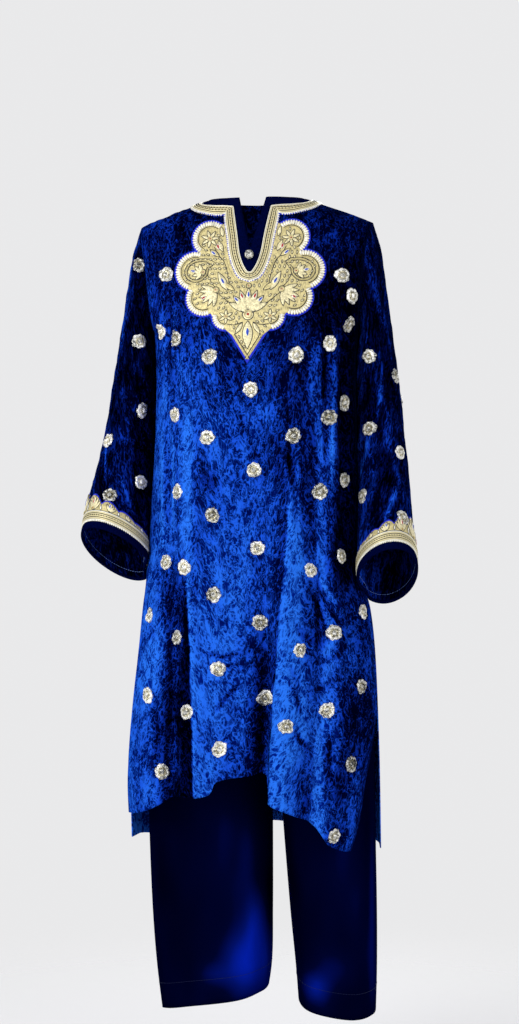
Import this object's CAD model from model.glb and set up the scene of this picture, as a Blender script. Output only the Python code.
# %% [markdown]
# # A pheran set: a crushed velvet tunic and satin trousers
#
# A pheran is a long loose tunic. This one is cut from crushed velvet, with a neck slit, a yoke and
# cuffs worked in tilla (gold thread laid on the cloth and tied down), and small sequin rosettes
# scattered over it. Straight satin trousers go under it. Both are shown as worn, hollow, with no wearer.
#
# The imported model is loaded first. It fixes every size and place, and each soft piece made below
# takes the place of one of its plain solids. Sizes are written in millimetres, and a mesh turns
# them into metres when it is made. The wearer faces -Y, and +X is the wearer's left.

# %% Load the frame
import math
from collections import defaultdict

import bpy
import numpy as np
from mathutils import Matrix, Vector
from mathutils.bvhtree import BVHTree
from mathutils.geometry import delaunay_2d_cdt


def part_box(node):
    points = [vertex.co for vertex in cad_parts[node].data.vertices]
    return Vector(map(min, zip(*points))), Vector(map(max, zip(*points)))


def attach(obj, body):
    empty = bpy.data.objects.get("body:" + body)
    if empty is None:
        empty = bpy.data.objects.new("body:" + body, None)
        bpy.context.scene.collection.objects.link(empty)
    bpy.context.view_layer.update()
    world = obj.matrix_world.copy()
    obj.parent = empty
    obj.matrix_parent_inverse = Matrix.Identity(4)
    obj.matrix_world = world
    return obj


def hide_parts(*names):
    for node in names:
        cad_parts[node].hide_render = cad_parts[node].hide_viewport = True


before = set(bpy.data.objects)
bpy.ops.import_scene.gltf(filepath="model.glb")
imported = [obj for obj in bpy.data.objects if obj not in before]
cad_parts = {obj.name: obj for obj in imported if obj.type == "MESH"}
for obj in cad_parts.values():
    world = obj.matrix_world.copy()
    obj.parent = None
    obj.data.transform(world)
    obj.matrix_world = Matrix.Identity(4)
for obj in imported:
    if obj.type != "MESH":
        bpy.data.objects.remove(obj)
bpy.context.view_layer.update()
MM = 0.001
BODY = "root"
PANELS = ((True, "front"), (False, "back"))
ARMS = (("right", -1), ("left", 1))
print("nodes:", sorted(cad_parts))

# %% [markdown]
# ## Camera and light
#
# The camera stands level with the tunic's waist, a little to the wearer's left, so that the front
# turns towards the left of the picture. The lens is worked out from the height that the picture
# takes in at that distance. A pale world and big soft lamps light the velvet from both sides, so
# that its ridges catch the light and its hollows stay deep.

# %% Camera
VIEW_TURN = math.radians(7)
VIEW_DISTANCE = 2800
VIEW_HEIGHT = -486
VIEW_SIDE = 2.4
PICTURE_HEIGHT = 1638
SENSOR = 36

camera_data = bpy.data.cameras.new("camera")
camera_data.sensor_width = SENSOR
camera_data.lens = SENSOR * VIEW_DISTANCE / PICTURE_HEIGHT
camera = bpy.data.objects.new("camera", camera_data)
bpy.context.scene.collection.objects.link(camera)
right = Vector((math.cos(VIEW_TURN), math.sin(VIEW_TURN), 0))
ahead = Vector((-math.sin(VIEW_TURN), math.cos(VIEW_TURN), 0))
spot = right * VIEW_SIDE - ahead * VIEW_DISTANCE + Vector((0, 0, VIEW_HEIGHT))
camera.location = spot * MM
camera.rotation_euler = (math.radians(90), 0, VIEW_TURN)
bpy.context.scene.camera = camera
bpy.context.scene.view_settings.view_transform = "Standard"

# %% World and lamps
world = bpy.data.worlds.new("studio")
world.use_nodes = True
background = world.node_tree.nodes["Background"].inputs
background["Color"].default_value, background["Strength"].default_value = (0.86, 0.86, 0.87, 1), 0.95
bpy.context.scene.world = world


def lamp(name, place, target, size, watts):
    """A square soft lamp that points at a target."""
    data = bpy.data.lights.new(name, "AREA")
    data.size = size * MM
    data.energy = watts
    made = bpy.data.objects.new(name, data)
    made.location = Vector(place) * MM
    towards = Vector(target) * MM - made.location
    made.rotation_euler = towards.to_track_quat("-Z", "Y").to_euler()
    bpy.context.scene.collection.objects.link(made)


lamp("key", (-1500, -2100, 300), (0, 0, -500), 1000, 44)
lamp("fill", (1700, -1900, -300), (0, 0, -600), 1300, 12)
lamp("back", (300, 2300, 500), (0, 0, -500), 1500, 36)

# %% [markdown]
# ## Helpers: curves through tables, and grids of points
#
# A garment's form is best kept as short tables, one row for each height, with a smooth curve run
# through each column. The cloth is then a grid of points, worked out all at once with numpy, and
# the same few helpers turn every grid into a mesh with a UV map that follows the cloth.

# %% Tables and curves
def table(names, *rows):
    """A table with named columns; the first column is the place along the curve."""
    return {name: np.array(column, float) for name, column in zip(names.split(), zip(*rows))}


def along(rows, column, place):
    """Reads a column at a place along the first column, on a smooth curve through the rows."""
    at, value = rows[next(iter(rows))], rows[column]
    if at[-1] < at[0]:
        at, value = at[::-1], value[::-1]
    slope = np.gradient(value) / np.gradient(at)
    place = np.clip(place, at[0], at[-1])
    i = np.clip(np.searchsorted(at, place, side="right") - 1, 0, len(at) - 2)
    span = at[i + 1] - at[i]
    t = (place - at[i]) / span
    a, b = value[i], value[i + 1]
    c, d = slope[i] * span, slope[i + 1] * span
    eased = 3 * t**2 - 2 * t**3
    return (1 - eased) * a + (t**3 - 2 * t**2 + t) * c + eased * b + (t**3 - t**2) * d


def lengths_along(points):
    """The length from a line's start to each of its points."""
    return np.concatenate([[0], np.cumsum(np.linalg.norm(np.diff(points, axis=0), axis=1))])


def by_side(side, rows, place):
    """Reads the column of the wearer's right or left, as the sign of side says."""
    return np.where(side > 0, along(rows, "left", place), along(rows, "right", place))


def circle(count):
    """Angles all the way round."""
    return np.linspace(0, 2 * np.pi, count, endpoint=False)


def mix(a, b, t):
    return a + (b - a) * t


def ease(t):
    s = np.clip(t, 0, 1)
    return s * s * (3 - 2 * s)


def cloud(x, y, size, seed):
    """Smooth noise from -1 to 1 over a plane, with features of about the given size."""
    lattice = np.random.default_rng(seed).uniform(-1, 1, (64, 64))
    gx, gy = x / size, y / size
    ix, iy = np.floor(gx).astype(int), np.floor(gy).astype(int)
    tx, ty = gx - ix, gy - iy
    tx, ty = tx * tx * (3 - 2 * tx), ty * ty * (3 - 2 * ty)
    corner = lambda dx, dy: lattice[(ix + dx) % 64, (iy + dy) % 64]
    low = mix(corner(0, 0), corner(1, 0), tx)
    high = mix(corner(0, 1), corner(1, 1), tx)
    return mix(low, high, ty)


# %% Meshes
def make_object(name, points, faces, uv=None):
    """A mesh object from points in millimetres. uv gives a pair for each point."""
    mesh = bpy.data.meshes.new(name)
    mesh.from_pydata((np.asarray(points) * MM).tolist(), [], [list(map(int, f)) for f in faces])
    if uv is not None:
        layer = mesh.uv_layers.new(name="cloth")
        corners = np.empty(len(mesh.loops), np.int32)
        mesh.loops.foreach_get("vertex_index", corners)
        layer.data.foreach_set("uv", np.asarray(uv)[corners].astype(np.float32).ravel())
    mesh.polygons.foreach_set("use_smooth", [True] * len(mesh.polygons))
    mesh.update()
    made = bpy.data.objects.new(name, mesh)
    bpy.context.scene.collection.objects.link(made)
    return made


def grid_faces(rows, columns, closed=False):
    """Faces of a grid, whose columns may run all the way round. Seen from outside, rows run down."""
    r = np.arange(rows - 1)[:, None]
    c = np.arange(columns if closed else columns - 1)[None, :]
    following = (c + 1) % columns
    quads = [r * columns + c, (r + 1) * columns + c, (r + 1) * columns + following, r * columns + following]
    return np.stack(np.broadcast_arrays(*quads), -1).reshape(-1, 4)


def grid_normals(grid, closed=False):
    """Outward directions of a grid of points."""
    if closed:
        wrapped = np.concatenate([grid[:, -1:], grid, grid[:, :1]], 1)
        across = (wrapped[:, 2:] - wrapped[:, :-2]) / 2
    else:
        across = np.gradient(grid, axis=1)
    down = np.gradient(grid, axis=0)
    normal = np.cross(down, across)
    return normal / np.maximum(np.linalg.norm(normal, axis=-1, keepdims=True), 1e-9)


def cloth_uv(grid):
    """Lengths along the cloth, in metres, from its middle column and its top row."""
    step_across = np.linalg.norm(np.diff(grid, axis=1), axis=-1).mean(0)
    step_down = np.linalg.norm(np.diff(grid, axis=0), axis=-1)
    u = np.concatenate([[0], np.cumsum(step_across)])
    v = np.concatenate([np.zeros((1, grid.shape[1])), np.cumsum(step_down, 0)])
    u = np.broadcast_to(u - u.mean(), grid.shape[:2])
    return np.stack([u, -v], -1).reshape(-1, 2) * MM


def make_cloth(name, grid, measured=None, closed=False):
    """A sheet from a grid of points, its UV map measured on that grid or on a smoother one."""
    uv = cloth_uv(grid if measured is None else measured)
    return make_object(name, grid.reshape(-1, 3), grid_faces(*grid.shape[:2], closed), uv)


def solidify(piece, thickness):
    """Gives a sheet its thickness, inwards, and makes that part of its mesh."""
    modifier = piece.modifiers.new("thickness", "SOLIDIFY")
    modifier.thickness = thickness * MM
    modifier.offset = -1
    settle(piece)


def settle(piece):
    """Puts a piece's modifiers into its mesh."""
    graph = bpy.context.evaluated_depsgraph_get()
    mesh = bpy.data.meshes.new_from_object(piece.evaluated_get(graph))
    piece.modifiers.clear()
    piece.data = mesh


def finish_piece(piece, material, slot, *nodes):
    """Gives a piece its material, and says what it rides on and stands for."""
    piece.data.materials.clear()
    piece.data.materials.append(material)
    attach(piece, BODY)
    if nodes:
        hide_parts(*nodes)
    print(piece.name, len(piece.data.polygons), "faces")


# %% [markdown]
# ## Materials
#
# Crushed velvet is pressed so that its pile lies in different directions. Where the pile leans
# away from the light it is almost black, and where it leans towards it the dye shows bright. A
# painted pattern of that comes from two ridged noises on the cloth's UV map, and a lustre value
# kept at each point of the mesh says how bright each region lies. Sheen adds the bright edge that
# pile has where the cloth turns away. The floor is pale paper that fades into the world behind it.

# %% Material helpers
def shader_of(material):
    return material.node_tree.nodes["Principled BSDF"]


def new_material(name, color, roughness, **uniform):
    """A material whose shader has the given uniform values on its own sockets."""
    material = bpy.data.materials.new(name)
    material.use_nodes = True
    shader = shader_of(material)
    shader.inputs["Base Color"].default_value = (*color, 1)
    shader.inputs["Roughness"].default_value = roughness
    for socket, value in uniform.items():
        shader.inputs[socket.replace("_", " ")].default_value = value
    return material


def add_node(material, kind, **settings):
    """A shader node. Each setting is the value of one of its sockets or a choice of its own."""
    node = material.node_tree.nodes.new("ShaderNode" + kind)
    for key, value in settings.items():
        socket = key.replace("_", " ")
        if socket in node.inputs:
            node.inputs[socket].default_value = value
        else:
            setattr(node, key, value)
    return node


def link(material, source, target):
    material.node_tree.links.new(source, target)


def set_color(material, source):
    link(material, source, shader_of(material).inputs["Base Color"])


def ramp(material, factor, stops):
    """A colour ramp with stops of (place, colour)."""
    node = add_node(material, "ValToRGB")
    elements = node.color_ramp.elements
    elements[0].position, elements[0].color = stops[0][0], (*stops[0][1], 1)
    elements[1].position, elements[1].color = stops[-1][0], (*stops[-1][1], 1)
    for place, color in stops[1:-1]:
        element = elements.new(place)
        element.color = (*color, 1)
    link(material, factor, node.inputs["Fac"])
    return node.outputs["Color"]


def noise(material, source, scale, **settings):
    node = add_node(material, "TexNoise", Scale=scale, **settings)
    link(material, source, node.inputs["Vector"])
    return node.outputs["Fac"]


def sum_of(material, *terms):
    """Adds (value, share) pairs."""
    total = None
    for value, share in terms:
        node = add_node(material, "Math", operation="MULTIPLY_ADD")
        link(material, value, node.inputs[0])
        node.inputs[1].default_value, node.inputs[2].default_value = share, 0
        if total:
            link(material, total, node.inputs[2])
        total = node.outputs[0]
    return total


def stretch_range(material, value, low, high):
    """Maps low to 0 and high to 1."""
    node = add_node(material, "MapRange", From_Min=low, From_Max=high)
    link(material, value, node.inputs["Value"])
    return node.outputs["Result"]


def blended(material, factor, first, second):
    """The first colour where the factor is 0, the second where it is 1."""
    node = add_node(material, "Mix", data_type="RGBA")
    for source, socket in ((factor, "Factor"), (first, "A"), (second, "B")):
        link(material, source, node.inputs[socket])
    return node.outputs["Result"]


def kept_value(material, name):
    """A value kept at each point of the mesh."""
    return add_node(material, "Attribute", attribute_name=name).outputs["Fac"]


def cloth_place(material):
    return add_node(material, "UVMap", uv_map="cloth").outputs["UV"]


def bump(material, height, distance):
    node = add_node(material, "Bump", Strength=1.0, Distance=distance)
    link(material, height, node.inputs["Height"])
    link(material, node.outputs["Normal"], shader_of(material).inputs["Normal"])


def stretched(material, source, size):
    """Cloth coordinates, stretched by a size for each axis."""
    node = add_node(material, "Mapping", Scale=size)
    link(material, source, node.inputs["Vector"])
    return node.outputs["Vector"]


# %% Floor
FLOOR_Z, FLOOR_RADIUS = -1470, 1500


def pale_paper():
    """Pale paper that fades away towards the floor's edge."""
    paper = new_material("pale_floor", (0.66, 0.66, 0.67), 0.9)
    place = add_node(paper, "TexCoord").outputs["Object"]
    spread = add_node(paper, "TexGradient", gradient_type="SPHERICAL")
    link(paper, stretched(paper, place, [1 / (FLOOR_RADIUS * MM)] * 3), spread.inputs["Vector"])
    fade = ramp(paper, spread.outputs["Fac"], [(0.02, (0, 0, 0)), (0.7, (1, 1, 1))])
    fade.node.color_ramp.interpolation = "EASE"
    clear, blend = add_node(paper, "BsdfTransparent"), add_node(paper, "MixShader")
    link(paper, fade, blend.inputs["Fac"])
    link(paper, clear.outputs["BSDF"], blend.inputs[1])
    link(paper, shader_of(paper).outputs["BSDF"], blend.inputs[2])
    link(paper, blend.outputs["Shader"], paper.node_tree.nodes["Material Output"].inputs["Surface"])
    return paper


bpy.ops.mesh.primitive_circle_add(vertices=96, radius=FLOOR_RADIUS * MM, fill_type="NGON")
floor = bpy.context.object
floor.name = "floor"
floor.location.z = FLOOR_Z * MM
floor.data.materials.append(pale_paper())

# %% Crushed velvet
def thin_lines(material, source, scale, width, **settings):
    """Thin wandering lines, 1 along the middle of each, where a noise passes its middle value."""
    field = noise(material, source, scale, **settings)
    away = add_node(material, "Math", operation="SUBTRACT")
    link(material, field, away.inputs[0])
    away.inputs[1].default_value = 0.5
    size = add_node(material, "Math", operation="ABSOLUTE")
    link(material, away.outputs[0], size.inputs[0])
    return stretch_range(material, size.outputs[0], width, 0.0)


def crushed_velvet():
    velvet = new_material(
        "crushed_velvet", (0.004, 0.06, 0.5), 0.7,
        Sheen_Weight=0.03, Sheen_Roughness=0.3, Sheen_Tint=(0.01, 0.15, 1.0, 1), Specular_IOR_Level=0.0,
    )
    cloth = cloth_place(velvet)
    long_way = stretched(velvet, cloth, (1.0, 0.62, 1.0))
    wide = thin_lines(velvet, long_way, 66, 0.07, Detail=1.5, Distortion=1.8)
    narrow = thin_lines(velvet, long_way, 125, 0.08, Detail=1.5, Distortion=1.3)
    worms = noise(velvet, long_way, 150, Detail=3, Distortion=1.4)
    mottle = noise(velvet, long_way, 46, Detail=3, Distortion=1.0)
    patches = noise(velvet, long_way, 14, Detail=2, Distortion=0.8)
    lustre = kept_value(velvet, "lustre")
    texture = sum_of(velvet, (wide, 0.46), (narrow, 0.46), (worms, 0.7), (mottle, 1.3))
    level = stretch_range(velvet, sum_of(velvet, (lustre, 1.0), (patches, 0.9)), 0.14, 1.18)
    lit = stretch_range(velvet, sum_of(velvet, (texture, 1.0), (level, 0.38)), 1.28, 1.76)
    dark = ramp(velvet, level, [(0.0, (0.0, 0.0, 0.0012)), (0.5, (0.0, 0.0008, 0.022)), (1.0, (0.0, 0.008, 0.17))])
    bright = ramp(velvet, level, [
        (0.0, (0.0003, 0.003, 0.055)), (0.35, (0.003, 0.026, 0.33)),
        (0.65, (0.007, 0.064, 0.54)), (1.0, (0.016, 0.13, 0.68)),
    ])
    set_color(velvet, blended(velvet, lit, dark, bright))
    fuzz = noise(velvet, cloth, 900, Detail=2)
    bump(velvet, sum_of(velvet, (lit, 0.35), (mottle, 0.8), (fuzz, 0.08)), 0.002)
    return velvet


VELVET = crushed_velvet()
print("velvet ready")

# %% [markdown]
# ## The tunic's body
#
# The body is two panels, a front and a back, joined at the shoulders and sides and open at the side
# vents. Each panel is one grid: its top row follows the neck and the shoulder, its bottom row the
# hem. A section at any height is a rounded oval, and the large folds are smooth ridges and valleys
# whose place, width and depth are rows of a table. Creases are added on top, and then the small
# crush of the velvet itself.

# %% Sizes of the tunic
VELVET_THICKNESS = 1.8
SEAM_GAP = 0.3
SHOULDER_HALF, SHOULDER_TIP_Z, SHOULDER_ROUND, SHOULDER_SLOPE = 184, -28, 46, 1.15
NECK_HALF, NECK_SIDE_Z = 74, 11
SLIT_HALF, SLIT_END_Z, SLIT_TOP_Z = 21, -80, 6
ARMHOLE_BULGE, ARMHOLE_WIDEST_Z, UNDERARM_Z = 62, -100, -200
NECK_PART = 5 / 11
EVEN_ROWS_BELOW = 170

BODY_FORM = table(
    "z right left front back",
    (20, 186, 186, 62, 60), (-28, 184, 184, 82, 80), (-76, 176, 176, 97, 92), (-116, 171, 171, 107, 98),
    (-200, 164, 164, 127, 101), (-250, 161, 160, 133, 101), (-310, 161, 160, 134, 102), (-380, 163, 162, 133, 106),
    (-460, 168, 164, 134, 113), (-540, 173, 165, 136, 119), (-600, 178, 170, 138, 124), (-640, 183, 180, 140, 127),
    (-700, 189, 187, 142, 130), (-800, 200, 192, 147, 135), (-900, 207, 195, 151, 139), (-1030, 205, 197, 154, 142),
)
FRONT_EDGE = table(
    "z right left",
    (-800, 1, 1), (-850, 0.998, 0.96), (-900, 0.99, 0.91), (-960, 0.96, 0.86), (-1030, 0.94, 0.76),
)
FRONT_HEM = table(
    "u z",
    (-1, -960), (-0.86, -952), (-0.68, -936), (-0.6, -926), (-0.44, -920), (-0.385, -921), (-0.26, -913),
    (-0.225, -896), (0.0, -887), (0.165, -887), (0.19, -912), (0.23, -926), (0.36, -940), (0.62, -963),
    (0.77, -990), (0.89, -1002), (1, -1004),
)
BACK_HEM = table("u z", (-1, -1010), (-0.84, -1020), (-0.45, -1010), (0.1, -1003), (0.55, -1008), (1, -1019))

# %% Large folds: place across the panel at the start and the hem, half width, ridge, start, full depth
FRONT_FOLDS = [
    (-0.56, -0.44, 17, 8, -260, -520), (-0.66, -0.55, 16, -22, -540, -800), (-0.85, -0.8, 17, 7, -520, -800),
    (-0.25, -0.2, 34, 9, -480, -860), (0.2, 0.12, 15, -22, -520, -880), (0.33, 0.3, 24, 12, -420, -860),
    (0.66, 0.54, 15, -13, -190, -420), (0.82, 0.74, 15, 8, -240, -520), (0.93, 0.88, 13, -9, -230, -420),
]
BACK_FOLDS = [
    (-0.66, -0.72, 22, 10, -300, -720), (-0.4, -0.46, 20, -16, -420, -820), (-0.1, -0.14, 26, 11, -360, -800),
    (0.2, 0.22, 19, -15, -460, -840), (0.46, 0.5, 24, 12, -300, -700), (0.74, 0.78, 18, -12, -400, -780),
]


def fold_ridge(folds, u, z, half):
    height = np.zeros_like(u)
    for start_u, hem_u, width, ridge, start, full in folds:
        down = ease((start - z) / (start - full))
        place = mix(start_u, hem_u, np.clip((start - z) / (start + 1000), 0, 1))
        height += ridge * down * np.exp(-(((u - place) * half / width) ** 2))
    return height


# %% Panel form
def armhole_bulge(z):
    """How far the armhole's edge stands out to the front and the back at a height."""
    below = np.clip((ARMHOLE_WIDEST_Z - z) / (ARMHOLE_WIDEST_Z - UNDERARM_Z), 0, 1)
    return ARMHOLE_BULGE * np.sqrt(1 - below**2)


def panel_grid(front, columns, rows_yoke, rows_skirt):
    """Points of a panel, in rows from the top down, its columns left to right seen from outside."""
    c = np.linspace(-1, 1, columns)
    side, spread = np.where(c < 0, -1.0, 1.0), np.abs(c)
    neck_share = (NECK_HALF - SLIT_HALF) / (SHOULDER_HALF - SLIT_HALF) if front else NECK_HALF / SHOULDER_HALF
    on_neck = spread < NECK_PART
    share = np.where(
        on_neck,
        neck_share * np.sin(np.clip(spread / NECK_PART, 0, 1) * np.pi / 2),
        mix(neck_share, 1, (spread - NECK_PART) / (1 - NECK_PART)),
    )
    round_neck = np.sqrt(np.clip(1 - (share / neck_share) ** 2, 0, 1))
    neck_z, neck_depth = (SLIT_TOP_Z, 66) if front else (15, 62)
    on_shoulder = np.clip((share - neck_share) / (1 - neck_share), 0, 1)
    shoulder_z = mix(NECK_SIDE_Z, SHOULDER_TIP_Z, on_shoulder**SHOULDER_SLOPE)
    top = np.where(on_neck, mix(NECK_SIDE_Z, neck_z, round_neck), shoulder_z)
    top_depth = np.where(on_neck, neck_depth * round_neck, 0)
    hem = along(FRONT_HEM if front else BACK_HEM, "z", c)
    t = np.linspace(0, 1, rows_yoke)[:, None] ** 1.6
    s = np.linspace(0, 1, rows_skirt + 1)[1:, None]
    z = np.concatenate([mix(top, UNDERARM_Z, t), mix(UNDERARM_Z, hem, s)])
    reach = mix(share, spread, ease((top - z) / EVEN_ROWS_BELOW))
    half = by_side(side, BODY_FORM, z)
    edge = by_side(side, FRONT_EDGE, z) if front else 1.0
    slit = SLIT_HALF * np.clip((z - SLIT_END_Z) / (SLIT_TOP_Z - SLIT_END_Z), 0, 1) if front else 0.0
    x = slit + (half * edge - slit) * reach
    bulge = armhole_bulge(z)
    depth = along(BODY_FORM, "front" if front else "back", z)
    oval = np.clip(1 - (x / half) ** 2.5, 0, 1) ** 0.4
    fold = fold_ridge(FRONT_FOLDS if front else BACK_FOLDS, side * reach, z, half) * oval
    drop = 1 - np.clip((top - z) / SHOULDER_ROUND, 0, 1)
    shoulder = np.sqrt(1 - drop**2)
    away = np.maximum(mix(top_depth, bulge + (depth - bulge) * oval, shoulder) + fold, SEAM_GAP / 2)
    grid = np.stack([side * x, -away if front else away, z], -1)
    return grid if front else grid[:, ::-1]


# %% [markdown]
# Creases are drawn on the cloth by hand, as lines through a few points, each with its own width and
# depth. A trough or a ridge fades out towards its ends, and a step is the edge of a fold that laps
# over its neighbour: steep on one side, soft on the other. A shade is drawn with the same kind of
# line, but only in the lustre: it darkens or brightens the pile where it is pressed.

# %% Creases
def crease_height(x, z, points, width, height, kind="soft"):
    """What one crease adds at places (x, z) of the panel, to its height or to its lustre."""
    line = np.reshape(points, (-1, 2)).astype(float)
    best = np.full(x.shape, 1e9)
    signed, place = np.zeros_like(x), np.zeros_like(x)
    starts = lengths_along(line)
    for i, length in enumerate(np.diff(starts)):
        step = (line[i + 1] - line[i]) / length
        dx, dz = x - line[i][0], z - line[i][1]
        t = np.clip(dx * step[0] + dz * step[1], 0, length)
        off_x, off_z = dx - step[0] * t, dz - step[1] * t
        distance = np.hypot(off_x, off_z)
        nearer = distance < best
        best = np.where(nearer, distance, best)
        signed = np.where(nearer, np.copysign(distance, off_x * -step[1] + off_z * step[0]), signed)
        place = np.where(nearer, (starts[i] + t) / starts[-1], place)
    fade = np.clip(np.sin(np.pi * np.clip(place, 0.02, 0.98)), 0, 1) ** 0.6
    if kind == "step":
        fade = ease(place * 3)
        profile = ease((signed + 2.5) / 5) * np.exp(-np.clip(signed, 0, None) / width)
    elif kind == "shade":
        fade = ease(place * 3)
        profile = ease((1 - signed) / 4) * np.exp(np.clip(signed, None, 0) / width)
    else:
        profile = np.exp(-((signed / width) ** 2))
    return height * fade * profile


def add_creases(grid, creases):
    """Moves a grid out along its normals by a list of creases, and returns it and their height."""
    x, z = grid[..., 0], grid[..., 2]
    height = sum(crease_height(x, z, *crease) for crease in creases)
    return grid + grid_normals(grid) * height[..., None], height


def crush(grid, size, height, seed, closed=False):
    """The small dents of crushed pile, stretched along the cloth's length."""
    x = grid[..., 0] + 0.7 * grid[..., 1]
    z = grid[..., 2] * 0.6
    warp = cloud(x, z, size * 2.2, seed) * size * 0.7
    ridged = 1 - 2 * np.abs(cloud(x + warp, z - warp, size, seed + 1))
    fine = cloud(x - warp, z + warp, size * 0.45, seed + 2)
    rise = (ridged + 0.5 * fine) * height
    return grid + grid_normals(grid, closed) * rise[..., None], rise / height


def keep_values(piece, name, values):
    """Keeps one value for each point; the inner layer of a sheet repeats the outer one's."""
    layer = piece.data.attributes.new(name, "FLOAT", "POINT")
    layer.data.foreach_set("value", np.asarray(values, np.float32).ravel())


def spots(tones, x, z):
    """Soft bright or dark spots at the places in a table."""
    return sum(
        amount * np.exp(-(((x - spot_x) / across) ** 2) - ((z - spot_z) / down) ** 2)
        for spot_x, spot_z, across, down, amount in zip(*tones.values())
    )


# %% Creases: the x and z of each point, half width, height, kind
LAP_LINE = (64, -398, 62, -520, 53, -640, 46, -760, 42, -860, 39, -940)
TROUGH_LINE = (-96, -500, -92, -600, -86, -700, -83, -800, -79, -930)
FRONT_SHADES = [
    (LAP_LINE, 13, -0.7, "shade"), (TROUGH_LINE, 32, -1.0, "shade"), ((-124, -600, -122, -760, -124, -900), 5, -0.35),
    ((108, -560, 104, -640, 104, -700), 4, -0.5), ((148, -430, 143, -520, 140, -580), 8, -0.45),
    ((98, -210, 96, -300, 98, -380), 2.5, 0.4), ((112, -240, 110, -330, 113, -420), 2.5, 0.45),
    ((127, -300, 126, -400, 128, -500), 2.5, 0.45), ((78, -330, 76, -420, 77, -520), 2.5, 0.4),
    ((60, -300, 62, -380, 66, -470), 2.5, -0.4), ((-98, -330, -95, -420, -93, -520), 4, 0.3),
    ((-112, -330, -110, -430, -106, -540), 2.5, -0.45), ((-134, -330, -134, -430, -130, -520), 2.5, -0.4),
    ((-122, -340, -121, -430, -118, -520), 2.5, 0.35), ((-64, -700, -36, -707, -6, -700), 2.5, -0.5),
    ((-62, -716, -36, -722, -10, -716), 2.5, -0.35), ((-46, -790, -26, -764, -8, -750), 2.5, -0.55),
    ((-66, -752, -44, -742, -12, -750), 2.5, -0.4), ((88, -600, 110, -640, 128, -690), 3, -0.5),
    ((96, -580, 122, -630, 140, -660), 3, -0.45), ((100, -572, 126, -616, 146, -640), 2.5, 0.35),
    ((112, -716, 132, -706, 152, -690), 3, -0.45), ((62, -740, 74, -764, 84, -800), 3, -0.45),
    ((70, -820, 86, -836, 96, -850), 4, -0.6), ((128, -820, 124, -860, 128, -900), 4, -0.5),
    ((84, -700, 84, -800, 88, -900), 2.5, 0.3),
]
FRONT_CREASES = [
    (LAP_LINE, 40, 10.0, "step"), (TROUGH_LINE, 26, 5.0, "step"), ((-4, -300, 22, -350, 46, -392, 56, -430), 6, -2.6),
    ((4, -320, 34, -372, 62, -424, 70, -470), 5, 2.2), ((-14, -330, 8, -380, 30, -430), 6, -2.0),
    ((112, -170, 107, -250, 104, -330, 110, -400), 5, 3.0), ((120, -180, 117, -260, 114, -350, 118, -430), 5, -3.4),
    ((134, -200, 131, -290, 130, -380, 134, -470), 5, 3.0), ((143, -220, 142, -300, 141, -400, 146, -520), 6, -4.0),
    ((98, -230, 93, -310, 92, -420), 6, 2.0), ((-112, -150, -116, -200, -120, -260), 4, 2.6),
    ((-124, -160, -126, -230, -128, -300), 5, -3.4), ((-100, -200, -104, -260, -101, -330), 6, 2.4),
    ((-128, -320, -127, -420, -124, -520), 5, -3.0), ((-106, -300, -105, -420, -102, -560, -100, -640), 9, 4.2),
    ((-138, -360, -136, -470, -133, -560), 5, 2.6), ((-88, -560, -80, -600, -78, -640), 7, -3.0),
    ((-70, -640, -40, -655, -10, -650), 5, -2.0), ((-66, -702, -36, -706, -8, -700), 4, -2.2),
    ((-60, -748, -38, -738, -16, -752), 4, 2.0), ((-46, -790, -26, -762, -8, -748), 4, -2.6),
    ((44, -700, 70, -724, 82, -760), 6, -3.0), ((60, -640, 88, -676, 110, -690), 6, -3.4),
    ((90, -560, 112, -612, 130, -650, 128, -720), 6, 3.2), ((104, -596, 126, -640, 146, -660), 5, -3.6),
    ((86, -690, 118, -700, 146, -672), 5, 2.6), ((92, -760, 124, -752, 152, -726), 5, -3.2),
    ((70, -800, 90, -850, 88, -900), 7, -3.2), ((104, -800, 112, -860, 108, -930), 6, 3.4),
    ((130, -820, 122, -880, 126, -940), 6, -4.0), ((46, -880, 60, -850, 76, -862), 5, 2.0),
    ((-176, -620, -160, -650, -148, -690), 5, -2.6), ((-190, -740, -170, -760, -150, -742), 6, 2.4),
    ((-196, -880, -172, -866, -150, -880), 5, -2.4), ((-150, -760, -140, -820, -142, -880), 7, -4.0),
]
BACK_SHADES = [
    ((-98, -330, -94, -440, -96, -560), 3, 0.35), ((-110, -300, -112, -420, -108, -540), 3, -0.45),
    ((108, -300, 112, -420, 108, -560), 3, 0.35), ((44, -360, 50, -480, 44, -620), 3, -0.4),
    ((-20, -600, -26, -740, -20, -880), 5, -0.4), ((120, -640, 126, -760, 122, -900), 5, -0.4),
    ((-64, -700, -36, -708, -6, -700), 3, -0.4), ((50, -790, 76, -766, 96, -752), 3, -0.45),
    ((-140, -620, -120, -660, -110, -720), 3, -0.4), ((10, -400, 14, -520, 8, -640), 3, 0.3),
]
BACK_CREASES = [
    ((-30, -150, -36, -260, -30, -380), 9, 2.4), ((40, -170, 46, -300, 40, -420), 8, -2.6),
    ((-90, -180, -96, -300, -90, -430), 7, -3.0), ((-108, -200, -112, -330, -106, -460), 7, 2.8),
    ((100, -190, 104, -300, 100, -440), 7, 3.0), ((118, -210, 120, -330, 116, -470), 6, -3.2),
    ((-60, -500, -30, -540, 0, -550), 7, -2.4), ((20, -610, 60, -640, 96, -636), 7, -2.8),
    ((-130, -560, -110, -610, -80, -640), 7, 2.6), ((-20, -720, 10, -760, 50, -770), 6, 2.2),
    ((90, -760, 120, -800, 150, -810), 7, -3.0), ((-150, -780, -120, -820, -96, -880), 7, -3.2),
    ((-40, -860, -20, -910, -24, -960), 7, 2.6), ((40, -840, 64, -900, 60, -960), 7, -3.0),
]

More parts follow.
